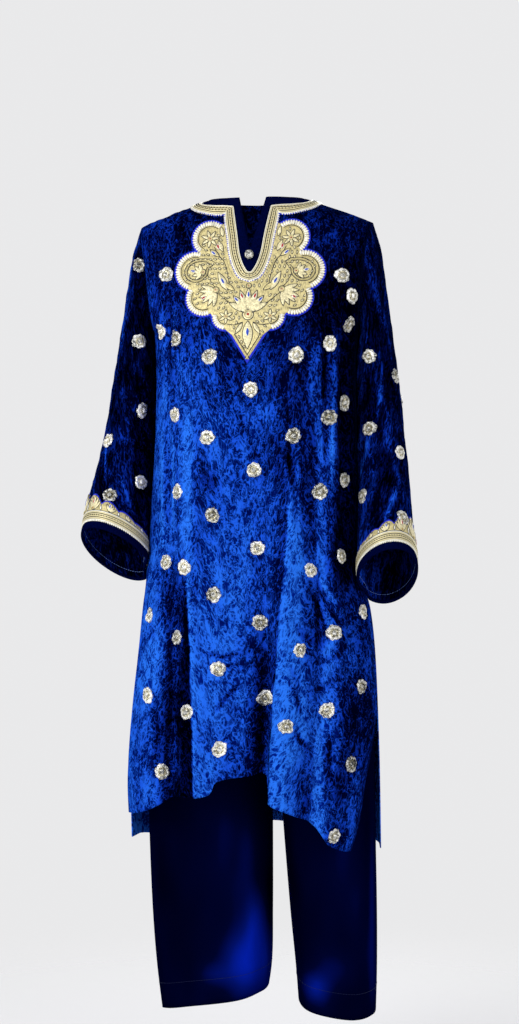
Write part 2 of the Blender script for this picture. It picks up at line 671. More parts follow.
# %% Make the panels
CREASE_SHINE, DENT_SHINE = 0.08, 0.05
TONE_COLUMNS = "x z across down amount"
FRONT_TONES = table(
    TONE_COLUMNS,
    (-90, -415, 9, 150, 0.34), (-132, -330, 8, 120, 0.3), (-105, -460, 7, 90, -0.36), (-57, -440, 14, 16, -0.36),
    (52, -425, 26, 30, -0.28), (125, -150, 46, 70, -0.16), (5, -520, 46, 90, 0.12), (30, -790, 20, 120, -0.3),
    (68, -650, 16, 130, 0.24), (140, -575, 20, 50, -0.42), (112, -660, 7, 60, -0.3), (-104, -800, 16, 130, -0.5),
    (-64, -790, 13, 90, -0.22), (-148, -740, 18, 110, 0.3), (-150, -270, 26, 80, -0.14), (153, -390, 9, 120, -0.5),
    (108, -340, 5, 90, 0.2), (128, -320, 4, 90, 0.2), (134, -905, 10, 26, -0.4), (92, -930, 10, 18, -0.3),
    (-100, -915, 20, 30, -0.55), (98, -830, 22, 60, 0.18), (150, -720, 12, 40, 0.2), (-60, -350, 30, 40, 0.12),
    (20, -330, 26, 24, 0.16), (-20, -905, 30, 20, -0.25), (40, -900, 12, 60, 0.2),
)
BACK_TONES = table(
    TONE_COLUMNS,
    (90, -420, 9, 150, 0.3), (130, -330, 8, 120, 0.26), (104, -470, 7, 90, -0.34), (-50, -520, 46, 90, 0.16),
    (20, -760, 15, 130, -0.4), (-30, -650, 16, 120, 0.22), (-110, -800, 13, 110, -0.45), (150, -760, 18, 80, 0.24),
    (-150, -560, 18, 60, -0.35), (60, -430, 24, 26, -0.26), (-70, -360, 26, 40, 0.14), (-140, -380, 8, 110, -0.35),
    (-200, -1005, 18, 26, 0.5), (200, -960, 16, 60, 0.3),
)


def body_lustre(smooth, creased, crease, dents, front):
    """How bright the pile lies: dark over the shoulders and chest, bright down the skirt."""
    x, z = smooth[..., 0], smooth[..., 2]
    high = ease((-110 - z) / 300)
    middle = np.exp(-(((x + 20) / 110) ** 2))
    skirt = ease((-470 - z) / 220)
    base = -0.12 + high * (0.34 + 0.1 * middle) + 0.14 * skirt
    slope = grid_normals(creased)[..., 0]
    turned = -0.3 * slope - 0.18 * np.clip(slope, 0, 1) if front else 0.16 * slope
    lean = spots(FRONT_TONES if front else BACK_TONES, x, z)
    lean = lean + sum(crease_height(x, z, *shade) for shade in (FRONT_SHADES if front else BACK_SHADES))
    return base + np.clip(turned, -0.4, 0.22) + lean + CREASE_SHINE * crease + DENT_SHINE * dents


def yoke_cover(x, z):
    """1 where the tilla work lies and holds the cloth flat, 0 away from it."""
    reach = np.maximum(112 - 0.45 * np.abs(z + 100), 0) * ease((z + 262) / 60)
    on_yoke = ease((reach - np.abs(x)) / 10) * (z > -262)
    return np.clip(on_yoke * (z < -20) + (np.abs(x) < 106) * ease((z + 38) / 8), 0, 1)


def make_panel(name, front):
    columns, rows_yoke, rows_skirt = (121, 74, 214) if front else (101, 58, 176)
    grid = panel_grid(front, columns, rows_yoke, rows_skirt)
    edge = np.minimum(np.arange(columns), np.arange(columns)[::-1]) / 5
    inside = ease(edge)[None, :] * ease(np.arange(grid.shape[0]) / 6)[:, None]
    if front:
        inside = inside * (1 - yoke_cover(grid[..., 0], grid[..., 2]))
    creased, crease = add_creases(grid, FRONT_CREASES if front else BACK_CREASES)
    crushed, dents = crush(creased, 15, 0.75, 11 if front else 31)
    crushed = grid + (crushed - grid) * inside[..., None]
    piece = make_cloth(name, crushed, grid)
    keep_values(piece, "lustre", body_lustre(grid, creased, crease, dents, front))
    return piece, crushed


front, front_grid = make_panel("tunic_front", True)
back, back_grid = make_panel("tunic_back", False)


def open_slit(piece, uv):
    """Parts the middle column above the slit's end, so that the neck slit stands open."""
    rows, columns = front_grid.shape[:2]
    middle = columns // 2
    points = np.array([v.co for v in piece.data.vertices]) / MM
    lustre = np.zeros(len(points))
    piece.data.attributes["lustre"].data.foreach_get("value", lustre)
    z = front_grid[:, middle, 2]
    parted = [r * columns + middle for r in range(rows) if z[r] > SLIT_END_Z + 1]
    half = SLIT_HALF * (z[: len(parted)] - SLIT_END_Z) / (SLIT_TOP_Z - SLIT_END_Z)
    left_edge = np.stack([half, points[parted, 1], points[parted, 2]], 1)
    left_edge[:, 1] = points[np.array(parted) + 1, 1]
    points[parted, 0], points[parted, 1] = -half, points[np.array(parted) - 1, 1]
    left_of = {index: len(points) + i for i, index in enumerate(parted)}
    faces = [
        [left_of.get(i, i) if face[0] % columns >= middle else i for i in face]
        for face in grid_faces(rows, columns)
    ]
    name = piece.name
    bpy.data.objects.remove(piece)
    made = make_object(name, np.concatenate([points, left_edge]), faces, np.concatenate([uv, uv[parted]]))
    keep_values(made, "lustre", np.concatenate([lustre, lustre[parted]]))
    return made


def surface_tree(grid):
    return BVHTree.FromPolygons(grid.reshape(-1, 3).tolist(), grid_faces(*grid.shape[:2]).tolist())


TREES = {True: surface_tree(front_grid), False: surface_tree(back_grid)}
front = open_slit(front, cloth_uv(front_grid))
for piece in (front, back):
    solidify(piece, VELVET_THICKNESS)
finish_piece(front, VELVET, "velvet", "front_panel")
finish_piece(back, VELVET, "velvet", "back_panel")

# %% [markdown]
# ## Sleeves
#
# Each sleeve is a tube from the armhole down to a wide open cuff. Its rings start upright, in the
# armhole's plane, and turn level further down as the arm does. The forearm is held a little
# forward, so the cuff's front edge is higher than its back, and the inside of the back shows.

# %% Sleeve forms
SLEEVE_COLUMNS = "out_x out_z in_x in_z y depth rise"
SLEEVE_ROUND, SLEEVE_LENGTH = 380, 520
SLEEVES = {-1: [
    (200, -72, 168, -212, 0, 64, 0), (210, -132, 166, -238, 2, 65, 2), (219, -188, 165, -268, 4, 64, 4),
    (229, -246, 165, -306, 4, 61, 6), (238, -306, 167, -352, 2, 58, 10), (247, -366, 171, -408, -4, 57, 16),
    (258, -424, 176, -464, -16, 58, 24), (268, -474, 175, -516, -30, 60, 32), (275, -533, 173, -573, -48, 63, 38),
], 1: [
    (197, -72, 167, -212, 0, 64, 0), (205, -132, 164, -238, 2, 65, 2), (213, -190, 163, -270, 4, 64, 4),
    (221, -250, 164, -310, 4, 61, 6), (229, -314, 165, -358, 0, 59, 10), (236, -380, 168, -416, -8, 59, 17),
    (243, -446, 173, -476, -20, 61, 26), (249, -506, 176, -534, -40, 63, 35), (256, -573, 176, -598, -64, 66, 43),
]}


def armhole_ring(side, angles):
    """The armhole as seen from the side, from the shoulder down the front and up the back."""
    z = mix(UNDERARM_Z, SHOULDER_TIP_Z, (1 + np.cos(angles)) / 2)
    drop = 1 - np.clip((SHOULDER_TIP_Z - z) / SHOULDER_ROUND, 0, 1)
    away = armhole_bulge(z) * np.sqrt(np.clip(1 - drop**2, 0, 1))
    half = by_side(side, BODY_FORM, z)
    return np.stack([side * (half + SEAM_GAP), -np.sign(np.sin(angles)) * away, z], -1)


def sleeve_grid(rows, side, columns, rings):
    """A sleeve's points, ring by ring from the armhole to the cuff."""
    angles = circle(columns)
    form = table("n " + SLEEVE_COLUMNS, *[(i + 1, *row) for i, row in enumerate(rows)])
    place = np.linspace(0, len(rows), rings)[:, None]
    read = lambda column: along(form, column, np.clip(place, 1, None))
    out = (1 + np.cos(angles)) / 2
    x = mix(read("in_x"), read("out_x"), out)
    z = mix(read("in_z"), read("out_z"), out) + read("rise") * np.sin(angles)
    y = read("y") - read("depth") * np.sin(angles)
    grid = np.stack([side * x, y, z], -1)
    top = np.broadcast_to(armhole_ring(side, angles), grid.shape)
    grid = mix(top, grid, np.clip(place, 0, 1)[..., None])
    return grid[:, ::-1] if side > 0 else grid


# %% Creases: (place round, share down at the start and end, half width, height), then bright streaks
SLEEVE_CREASES = {
    -1: [
        (0.16, 0.06, 0.42, 7, 3.4), (0.22, 0.1, 0.44, 6, -4.0), (0.32, 0.22, 0.52, 7, 2.6),
        (0.12, 0.4, 0.66, 8, -3.2), (0.26, 0.48, 0.8, 8, 3.4), (0.2, 0.6, 0.86, 6, -2.8),
        (0.4, 0.45, 0.75, 7, -3.0), (0.7, 0.2, 0.6, 8, 3.0), (0.8, 0.35, 0.8, 8, -3.2),
        (0.6, 0.3, 0.62, 7, -2.6),
    ],
    1: [
        (0.14, 0.05, 0.4, 7, 3.2), (0.24, 0.1, 0.33, 8, -2.2), (0.3, 0.16, 0.5, 9, 1.6),
        (0.12, 0.32, 0.62, 7, -3.4), (0.2, 0.4, 0.7, 6, 3.2), (0.28, 0.42, 0.78, 6, -3.0),
        (0.16, 0.56, 0.88, 6, 3.2), (0.36, 0.5, 0.84, 7, 2.6), (0.72, 0.2, 0.58, 8, 3.0),
        (0.82, 0.35, 0.84, 8, -3.2), (0.62, 0.26, 0.66, 7, -2.6),
    ],
}
SLEEVE_STREAKS = {
    -1: [
        (0.1, 0.0, 0.14, 0.4, 10, 0.65), (0.05, 0.14, 0.03, 0.56, 9, 0.4), (0.2, 0.16, 0.26, 0.42, 3, 0.35),
        (0.12, 0.66, 0.2, 0.84, 4, 0.5), (0.26, 0.78, 0.36, 0.92, 5, 0.35), (0.04, 0.6, 0.02, 0.84, 8, 0.26),
        (0.62, 0.2, 0.66, 0.6, 4, 0.3), (0.8, 0.4, 0.74, 0.8, 4, 0.3),
    ],
    1: [
        (0.36, 0.02, 0.4, 0.3, 3, 0.5), (0.24, 0.1, 0.34, 0.42, 2.5, 0.45), (0.18, 0.42, 0.27, 0.6, 4, 0.75),
        (0.27, 0.56, 0.4, 0.72, 9, 0.55), (0.16, 0.8, 0.26, 0.93, 6, 0.85), (0.38, 0.5, 0.42, 0.76, 7, 0.3),
        (0.1, 0.3, 0.1, 0.6, 6, 0.2), (0.64, 0.2, 0.68, 0.6, 4, 0.3), (0.82, 0.4, 0.76, 0.8, 4, 0.3),
    ],
}


def round_gap(turn, place):
    """Length round a sleeve from one place to another, the short way."""
    return np.abs((turn - place + 0.5) % 1 - 0.5) * SLEEVE_ROUND


def sleeve_streak(turn, share, start_turn, start, end_turn, end, width):
    """A streak of raised pile from one place (share round, share down) to another, its ends faded."""
    t = np.clip((share - start) / (end - start), 0, 1)
    off = round_gap(turn, mix(start_turn, end_turn, t))
    return np.sin(np.pi * t) ** 0.6 * np.exp(-((off / width) ** 2))


SLEEVE_LEAN = {
    -1: table("z lean", (-200, 1), (-250, 3), (-330, 4), (-400, 7), (-480, 10), (-560, 9), (-620, 4)),
    1: table(
        "z lean", (-200, 2), (-250, 5), (-330, 6), (-400, 8), (-460, 11), (-520, 14), (-560, 14), (-600, 11), (-640, 7),
    ),
}
SLEEVE_CLEAR, CUFF_CLEAR, BODY_HALF = 1.0, 4.6, 190


def keep_clear(points, gaps):
    """Moves points out to a gap from the front and back wherever they are nearer."""
    for tree in TREES.values():
        for i, (point, gap) in enumerate(zip(points, gaps)):
            place, normal, _, distance = tree.find_nearest(Vector(point))
            if distance < gap + 12:
                outward = normal if normal.y * place.y > 0 else -normal
                depth = (Vector(point) - place).dot(outward)
                if distance < gap or depth < 0:
                    points[i] = place + outward * gap
    return points


def make_sleeve(name, rows, side, columns=96, rings=150):
    grid = sleeve_grid(rows, side, columns, rings)
    inner = (1 - np.cos(np.arange(columns) / columns * 2 * np.pi)) / 2
    inner = inner[::-1] if side > 0 else inner
    grid[..., 0] -= side * along(SLEEVE_LEAN[side], "lean", grid[..., 2]) * inner**1.5
    turn = np.arange(columns)[None, :] / columns
    turn = (columns - 1) / columns - turn if side > 0 else turn
    share = np.linspace(0, 1, rings)[:, None]
    height = np.zeros((rings, columns))
    for place, start, end, width, rise in SLEEVE_CREASES[side]:
        t = np.clip((share - start) / (end - start), 0, 1)
        drift = place + 0.05 * np.sin(3 * t + 7 * place)
        height += rise * np.sin(np.pi * t) ** 0.7 * np.exp(-((round_gap(turn, drift) / width) ** 2))
    wave = 1.6 * np.sin(share * 46 + 9 * np.sin(turn * 2 * np.pi)) * np.sin(np.pi * share) ** 2
    height += wave * (0.6 + 0.4 * np.cos((turn - 0.45) * 2 * np.pi))
    fade = ease(share * 12) * ease((0.86 - share) * 10)
    normals = grid_normals(grid, True)
    creased = grid + normals * (height * fade)[..., None]
    crushed, dents = crush(creased, 14, 0.7, 51 + side, True)
    keep = ease(share * 30) * ease((0.88 - share) * 12)
    crushed = creased + (crushed - creased) * keep[..., None]
    low_down = np.arange(rings) > rings * 0.2
    gap = mix(SLEEVE_CLEAR, CUFF_CLEAR, ease((share - 0.84) * 12)) * np.ones((1, columns))
    near = low_down[:, None] & (np.abs(crushed[..., 0]) < BODY_HALF)
    crushed[near] = keep_clear(crushed[near], gap[near])
    piece = make_cloth(name, crushed, grid, True)
    slope = -grid_normals(creased, True)[..., 0]
    low = ease((share - 0.45) * 2.2)
    streaks = sum(a * sleeve_streak(turn, share, *line) for *line, a in SLEEVE_STREAKS[side])
    lustre = -0.33 + 0.12 * low + 0.3 * np.clip(slope, 0, 1) ** 3 + CREASE_SHINE * height + streaks
    keep_values(piece, "lustre", lustre + DENT_SHINE * dents)
    solidify(piece, VELVET_THICKNESS)
    return piece, crushed


sleeves = {}
for name, side in ARMS:
    piece, sleeves[name] = make_sleeve("sleeve_cloth_" + name, SLEEVES[side], side)
    finish_piece(piece, VELVET, "velvet", "sleeve_" + name)

# %% [markdown]
# ## Trousers
#
# The trousers are cut straight from a smooth satin: a front and a back for each leg, joined down the
# sides, the inside of the legs and the middle. They hang with a few long soft folds, and a line of
# stitches shows where the hem is turned up.

# %% Trouser forms
WAIST_Z, LEG_SPLIT_Z, CROTCH_Z = -400, -600, -770
LEG_FORMS = {
    -1: table(
        "z outer inner depth",
        (-400, -138, 5, 96), (-480, -151, 8, 104), (-600, -164, 15, 106), (-690, -173, 19, 96),
        (-770, -176, 22, 84), (-870, -178, 23, 72), (-1000, -175, 24, 62), (-1120, -170, 24, 56),
        (-1210, -163, 22, 52), (-1290, -153, 8, 50),
    ),
    1: table(
        "z outer inner depth",
        (-400, 142, 5, 96), (-480, 149, 8, 104), (-600, 158, 15, 106), (-690, 172, 19, 97),
        (-770, 183, 22, 88), (-870, 186, 33, 80), (-1000, 188, 43, 76), (-1120, 190, 53, 74),
        (-1210, 190, 62, 74), (-1290, 188, 68, 75),
    ),
}
LEG_HEMS = {-1: (-1282, -1240, 2), 1: (-1276, -1254, 6)}
LEG_FOLDS = {
    (-1, True): [
        (0.7, 26, 5, -860, -1150), (0.84, 16, -6, -900, -1180), (0.42, 30, -3, -800, -1100),
        (0.22, 26, 3, -850, -1200),
    ],
    (1, True): [
        (0.3, 22, 4, -860, -1180), (0.55, 26, -3, -820, -1120), (0.12, 10, -4, -840, -1240),
        (0.78, 22, 4, -900, -1200),
    ],
    (-1, False): [(0.3, 26, 5, -800, -1100), (0.52, 24, -6, -820, -1180), (0.74, 22, 4, -860, -1200)],
    (1, False): [(0.28, 24, -5, -800, -1140), (0.5, 26, 5, -820, -1160), (0.76, 20, -4, -860, -1200)],
}
SATIN_THICKNESS = 1.2


def leg_grid(side, front, columns=45, rows=86):
    form, (hem_out, hem_in, dip) = LEG_FORMS[side], LEG_HEMS[side]
    share = np.linspace(0, 1, columns)[None, :]
    down = np.linspace(0, 1, rows)[:, None]
    crotch = (WAIST_Z - CROTCH_Z) / (WAIST_Z - hem_out)
    hem = mix(hem_out, hem_in, share) - (dip * np.sin(np.pi * share) if front else 0)
    low = np.clip((down - crotch) / (1 - crotch), 0, 1)
    z = np.where(low > 0, mix(CROTCH_Z, hem, low), mix(WAIST_Z, CROTCH_Z, down / crotch))
    outer = along(form, "outer", z)
    inner = along(form, "inner", z) + side * SEAM_GAP / 2
    split = np.where(z < CROTCH_Z, 1, ease((LEG_SPLIT_Z - z) / (LEG_SPLIT_Z - CROTCH_Z)))
    middle = mix(inner, (outer + inner) / 2, split)
    reach = np.abs(outer - middle)
    angle = share * np.arccos(np.clip(-side * (middle - inner) / reach, -1, 1))
    away = np.maximum(along(form, "depth", z) * np.sin(angle) ** 0.85, SEAM_GAP / 2)
    for place, width, rise, start, full in LEG_FOLDS[side, front]:
        off = (share - place) * reach * 3 / width
        away = away + rise * ease((start - z) / (start - full)) * np.exp(-(off**2)) * np.sin(np.pi * share) ** 0.5
    grid = np.stack([middle + side * reach * np.cos(angle), -away if front else away, z], -1)
    return grid[:, ::-1] if (side > 0) == front else grid


# %% Satin
def make_satin():
    satin = new_material(
        "navy_satin", (0.001, 0.004, 0.08), 0.45,
        Metallic=0.35, Specular_IOR_Level=0.0, Specular_Tint=(0.01, 0.02, 0.25, 1),
    )
    cloth = cloth_place(satin)
    broad = noise(satin, stretched(satin, cloth, (1.0, 0.35, 1.0)), 9, Detail=2)
    threads = noise(satin, stretched(satin, cloth, (1.0, 0.06, 1.0)), 1400, Detail=1)
    shine = sum_of(satin, (broad, 0.6), (kept_value(satin, "lustre"), 1.0))
    set_color(satin, ramp(satin, shine, [
        (0.15, (0.0001, 0.0002, 0.005)), (0.35, (0.0002, 0.001, 0.02)),
        (0.6, (0.0006, 0.005, 0.12)), (0.9, (0.001, 0.012, 0.34)),
    ]))
    bump(satin, sum_of(satin, (threads, 0.06), (broad, 1.0)), 0.0015)
    return satin


SATIN = make_satin()

# %% Make the legs
LEG_TONES = table(
    TONE_COLUMNS,
    (-14, -1195, 34, 50, 0.62), (2, -1130, 14, 46, 0.42), (-60, -1215, 26, 18, 0.2), (98, -1226, 20, 22, 0.45),
    (128, -1195, 36, 30, 0.16), (184, -1080, 4, 150, 0.2), (-8, -1010, 16, 60, 0.12), (22, -1090, 14, 60, -0.2),
)

legs = []
for word, side in ARMS:
    for front_side, panel in PANELS:
        grid = leg_grid(side, front_side)
        legs.append(grid)
        leg = make_cloth(f"trouser_{word}_{panel}", grid)
        keep_values(leg, "lustre", spots(LEG_TONES, grid[..., 0], grid[..., 2]))
        solidify(leg, SATIN_THICKNESS)
        finish_piece(leg, SATIN, "satin", f"leg_{word}_{panel}")

# %% [markdown]
# ## Placing work on the cloth
#
# Bands, embroidery and rosettes all lie on the finished cloth. Each is first drawn flat, in
# millimetres, and then carried to the cloth: a ray along Y finds the place on the front or the back,
# and a cuff is unrolled into lengths round it and up from its edge. A lift moves the work out along
# the cloth's own direction there, so that it lies on the surface wherever the cloth curves.

# %% Carrying flat drawings to the cloth
RAY_START = 400


def cast(front, x, z):
    """Where a ray along Y meets the outside of a panel, and the cloth's outward direction there."""
    towards = Vector((0, 1 if front else -1, 0))
    place, normal, _, _ = TREES[front].ray_cast(Vector((x, 0, z)) - towards * RAY_START, towards, RAY_START)
    return place, normal, towards


def on_body(front):
    """A carrier for the front or back: takes (x, z) points, gives places and outward directions."""

    def carry(points):
        found = []
        for x, z in points:
            place, normal, towards = cast(front, x, z)
            if place is None:
                place, normal, _, _ = TREES[front].find_nearest((x, 0, z))
            found.append((place, -normal if normal.dot(towards) > 0 else normal))
        found = np.array(found)
        return found[:, 0], found[:, 1]

    return carry


def on_sleeve(name, side):
    """A carrier for a sleeve: takes (share round it, share down it)."""
    grid, normals = sleeves[name], grid_normals(sleeves[name], True)
    rings, columns = grid.shape[:2]

    def carry(points):
        found = []
        for turn, share in points:
            column = ((columns - 1) / columns - turn if side > 0 else turn) % 1 * columns
            row = min(share * (rings - 1), rings - 1.001)
            c, r = int(column) % columns, int(row)
            q, t, following = column - int(column), row - r, (c + 1) % columns
            found.append([
                mix(mix(g[r, c], g[r, following], q), mix(g[r + 1, c], g[r + 1, following], q), t)
                for g in (grid, normals)
            ])
        found = np.array(found)
        return found[:, 0], found[:, 1]

    return carry


def on_cuff(name, side, reach=36):
    """A carrier for a cuff: takes (length round it, length up from its edge), and the length round."""
    grid = sleeves[name]
    rings, columns = grid.shape[:2]
    carry_sleeve = on_sleeve(name, side)
    low = grid[-reach:][::-1]
    up = np.concatenate([np.zeros((1, columns)), np.cumsum(np.linalg.norm(np.diff(low, axis=0), axis=-1), 0)])
    around = np.linalg.norm(grid[-1] - np.roll(grid[-1], -1, 0), axis=-1).sum()

    def carry(points):
        points = np.asarray(points, float)
        turn = points[:, 0] / around % 1
        column = np.round(((columns - 1) / columns - turn if side > 0 else turn) * columns).astype(int) % columns
        ring = np.array([np.interp(max(d, 0), up[:, c], np.arange(reach)) for d, c in zip(points[:, 1], column)])
        places, normals = carry_sleeve(np.stack([turn, 1 - ring / (rings - 1)], 1))
        beyond = np.clip(-points[:, 1], 0, None)[:, None]
        above, _ = carry_sleeve(np.stack([turn, 1 - (ring + 2) / (rings - 1)], 1))
        down = places - above
        return places + down / np.linalg.norm(down, axis=1, keepdims=True) * beyond, normals

    return carry, around


def resample(points, pitch):
    """Points at an even pitch along a line, its ends kept."""
    points = np.asarray(points, float)
    lengths = lengths_along(points)
    count = max(int(lengths[-1] / pitch), 1)
    at = np.linspace(0, lengths[-1], count + 1)
    return np.stack([np.interp(at, lengths, column) for column in points.T], 1)


def flow(points, pitch=2.0):
    """A smooth line through a few points (Catmull-Rom), at an even pitch."""
    p = np.asarray(points, float)
    p = np.concatenate([[2 * p[0] - p[1]], p, [2 * p[-1] - p[-2]]])
    t = np.linspace(0, 1, 16, endpoint=False)[:, None]
    line = []
    for a, b, c, d in zip(p[:-3], p[1:-2], p[2:-1], p[3:]):
        line.append(0.5 * (2 * b + (c - a) * t + (2 * a - 5 * b + 4 * c - d) * t**2 + (3 * b - a - 3 * c + d) * t**3))
    return resample(np.concatenate([*line, [p[-2]]]), pitch)


# %% [markdown]
# ## Tilla: gold thread couched on the cloth
#
# Tilla is made of three things: a flat ground of gold threads laid side by side, raised leaves and
# petals worked over padding, and cords that outline them. The raised shapes are low domes over flat
# outlines. Cords are lines given a round section by one Geometry Nodes tree, so that a cord's
# thickness is one number. All of it is in a few materials: yellow gold, pale gold for the raised
# work, silvery white for the shell edges, and dark cord between them.

# %% Materials of the tilla
THREADS_PER_METRE = 900


def thread_metal(name, color, metallic, roughness):
    """Metal thread: fine ridges along the work, with a little change of tone between threads."""
    metal = new_material(name, color, roughness, Metallic=metallic, Specular_IOR_Level=0.4)
    work = cloth_place(metal)
    threads = noise(metal, stretched(metal, work, (1.0, 0.18, 1.0)), THREADS_PER_METRE, Detail=2)
    tone = noise(metal, work, 160, Detail=3)
    dark, light = [tuple(min(c * k, 1.0) for c in color) for k in (0.42, 1.2)]
    mixed = sum_of(metal, (threads, 1.0), (tone, 0.8))
    tones = stretch_range(metal, mixed, 0.62, 1.15)
    set_color(metal, ramp(metal, tones, [(0.0, dark), (0.55, color), (1.0, light)]))
    bump(metal, mixed, 0.0007)
    return metal


def plain_thread(name, color, roughness=0.6, fibre_scale=1100, specular=0.25):
    """Coloured thread or cord, with fibres across it."""
    thread = new_material(name, color, roughness, Specular_IOR_Level=specular)
    work = add_node(thread, "TexCoord").outputs["Object"]
    fibres = noise(thread, work, fibre_scale, Detail=2)
    dark, light = [tuple(c * k for c in color) for k in (0.6, 1.3)]
    set_color(thread, ramp(thread, fibres, [(0.35, dark), (0.65, light)]))
    bump(thread, fibres, 0.0004)
    return thread


GOLD = thread_metal("gold_thread", (0.56, 0.48, 0.23), 0.4, 0.42)
PALE_GOLD = thread_metal("pale_gold_thread", (0.7, 0.63, 0.38), 0.4, 0.42)
WHITE_GOLD = thread_metal("silver_white_thread", (0.78, 0.76, 0.66), 0.35, 0.4)
DARK_CORD = plain_thread("dark_cord", (0.015, 0.018, 0.03), 0.5)
BLUE_EDGE = plain_thread("blue_edge_thread", (0.006, 0.02, 0.55))
RED_DROP = plain_thread("red_drop_thread", (0.35, 0.015, 0.012))
BLUE_DROP = plain_thread("blue_drop_thread", (0.02, 0.06, 0.42))
BINDING = plain_thread("navy_velvet_binding", (0.0003, 0.0014, 0.022), 0.9, 500, 0.0)

# %% Geometry Nodes trees
def node_tree(name, inputs, kinds, joins):
    """A tree of named nodes, each with its settings. A line of joins is an output and an input."""
    tree = bpy.data.node_groups.new(name, "GeometryNodeTree")
    for word, kind in inputs.items():
        tree.interface.new_socket(word, in_out="INPUT", socket_type="NodeSocket" + kind)
    tree.interface.new_socket("Made", in_out="OUTPUT", socket_type="NodeSocketGeometry")
    nodes = {}
    for word, kind in kinds.items():
        kind, *settings = kind.split()
        nodes[word] = tree.nodes.new(kind)
        for setting in settings:
            setattr(nodes[word], *setting.split("="))
    for row in joins.strip().splitlines():
        (source, given), (target, taken) = [end.strip().split(".") for end in row.split(">")]
        outputs, inputs = nodes[source].outputs, nodes[target].inputs
        tree.links.new(
            outputs[int(given) if given.isdigit() else given], inputs[int(taken) if taken.isdigit() else taken],
        )
    return tree, nodes


# %% Cords
CORD_SIDES = 6
CORD_TREE, cord_nodes = node_tree(
    "round_cord",
    {"Lines": "Geometry", "Radius": "Float", "Finish": "Material"},
    {
        "group": "NodeGroupInput", "curve": "GeometryNodeMeshToCurve", "section": "GeometryNodeCurvePrimitiveCircle",
        "sweep": "GeometryNodeCurveToMesh", "smooth": "GeometryNodeSetShadeSmooth",
        "paint": "GeometryNodeSetMaterial", "end": "NodeGroupOutput",
    },
    """
    group.Lines > curve.Mesh
    curve.Curve > sweep.Curve
    group.Radius > section.Radius
    section.Curve > sweep.Profile Curve
    sweep.Mesh > smooth.Geometry
    smooth.Geometry > paint.Geometry
    group.Finish > paint.Material
    paint.Geometry > end.Made
    """,
)
cord_nodes["section"].inputs["Resolution"].default_value = CORD_SIDES
cord_nodes["sweep"].inputs["Fill Caps"].default_value = True


def run_tree(piece, tree, **values):
    """Puts a Geometry Nodes tree on a piece with its inputs set by name, and keeps the result."""
    modifier = piece.modifiers.new(tree.name, "NODES")
    modifier.node_group = tree
    for item in tree.interface.items_tree:
        if item.item_type == "SOCKET" and item.in_out == "INPUT" and item.name in values:
            modifier[item.identifier] = values[item.name]
    settle(piece)


def make_cords(name, lines, radius, material, slot="tilla"):
    """One piece of cords along lines of 3-D points in millimetres."""
    points, edges = [], []
    for line in lines:
        start = len(points)
        points += [Vector(p) * MM for p in line]
        edges += [(start + i, start + i + 1) for i in range(len(line) - 1)]
    mesh = bpy.data.meshes.new(name)
    mesh.from_pydata(points, edges, [])
    piece = bpy.data.objects.new(name, mesh)
    bpy.context.scene.collection.objects.link(piece)
    run_tree(piece, CORD_TREE, Radius=radius * MM, Finish=material)
    finish_piece(piece, material, slot)
    return piece


def carried_line(carry, line, lift):
    places, normals = carry(line)
    return places + normals * lift


# %% Raised shapes and grounds
class Work:
    """Gathers raised shapes of one material into one mesh."""

    def __init__(self):
        self.points, self.faces, self.uv = [], [], []
        self.count = 0

    def add(self, points, faces, uv):
        self.points.append(points)
        self.faces += [[i + self.count for i in face] for face in faces]
        self.uv.append(uv)
        self.count += len(points)

    def make(self, name, material):
        piece = make_object(name, np.concatenate(self.points), self.faces, np.concatenate(self.uv))
        finish_piece(piece, material, "tilla")


DOME = ((1.0, -0.9), (1.0, 0.25), (0.9, 0.62), (0.6, 0.93), (0.25, 1.0))


def raise_shape(work, carry, outline, lift, height, angle=0.0):
    """A low dome over a flat outline, given against the clock. Threads run across angle."""
    outline = np.asarray(outline, float)
    middle = outline.mean(0)
    count = len(outline)
    flat = np.concatenate([middle + (outline - middle) * size for size, _ in DOME] + [[middle]])
    rise = np.concatenate([np.full(count, lift + height * up) for _, up in DOME] + [[lift + height]])
    places, normals = carry(flat)
    points = places + normals * rise[:, None]
    faces = []
    for ring in range(len(DOME) - 1):
        for i in range(count):
            j = (i + 1) % count
            a, b = ring * count, (ring + 1) * count
            faces.append([a + i, a + j, b + j, b + i])
    last = (len(DOME) - 1) * count
    faces += [[last + i, last + (i + 1) % count, len(flat) - 1] for i in range(count)]
    faces.append(list(range(count))[::-1])
    across, inwards = points[1] - points[0], points[len(flat) - 1] - points[0]
    if np.cross(across, inwards) @ normals[0] < 0:
        faces = [face[::-1] for face in faces]
    ca, sa = math.cos(angle), math.sin(angle)
    uv = np.stack([flat[:, 0] * ca + flat[:, 1] * sa, -flat[:, 0] * sa + flat[:, 1] * ca], 1) * MM
    work.add(points, faces, uv)


def petal(x, z, angle, length, width, point=1.0, count=18):
    """A petal's outline from its base, along an angle in degrees; point over 1 sharpens its tip."""
    t = circle(count)
    along_it = (1 - np.cos(t)) / 2
    across = np.sin(t) * width / 2 * np.sin(np.pi * along_it**0.8) ** (0.35 * point)
    a = math.radians(angle)
    px = x + along_it * length * math.cos(a) + across * math.sin(a)
    pz = z + along_it * length * math.sin(a) - across * math.cos(a)
    return np.stack([px, pz], 1)[::-1]


def disc(x, z, radius, count=16):
    t = circle(count)
    return np.stack([x + radius * np.cos(t), z + radius * np.sin(t)], 1)


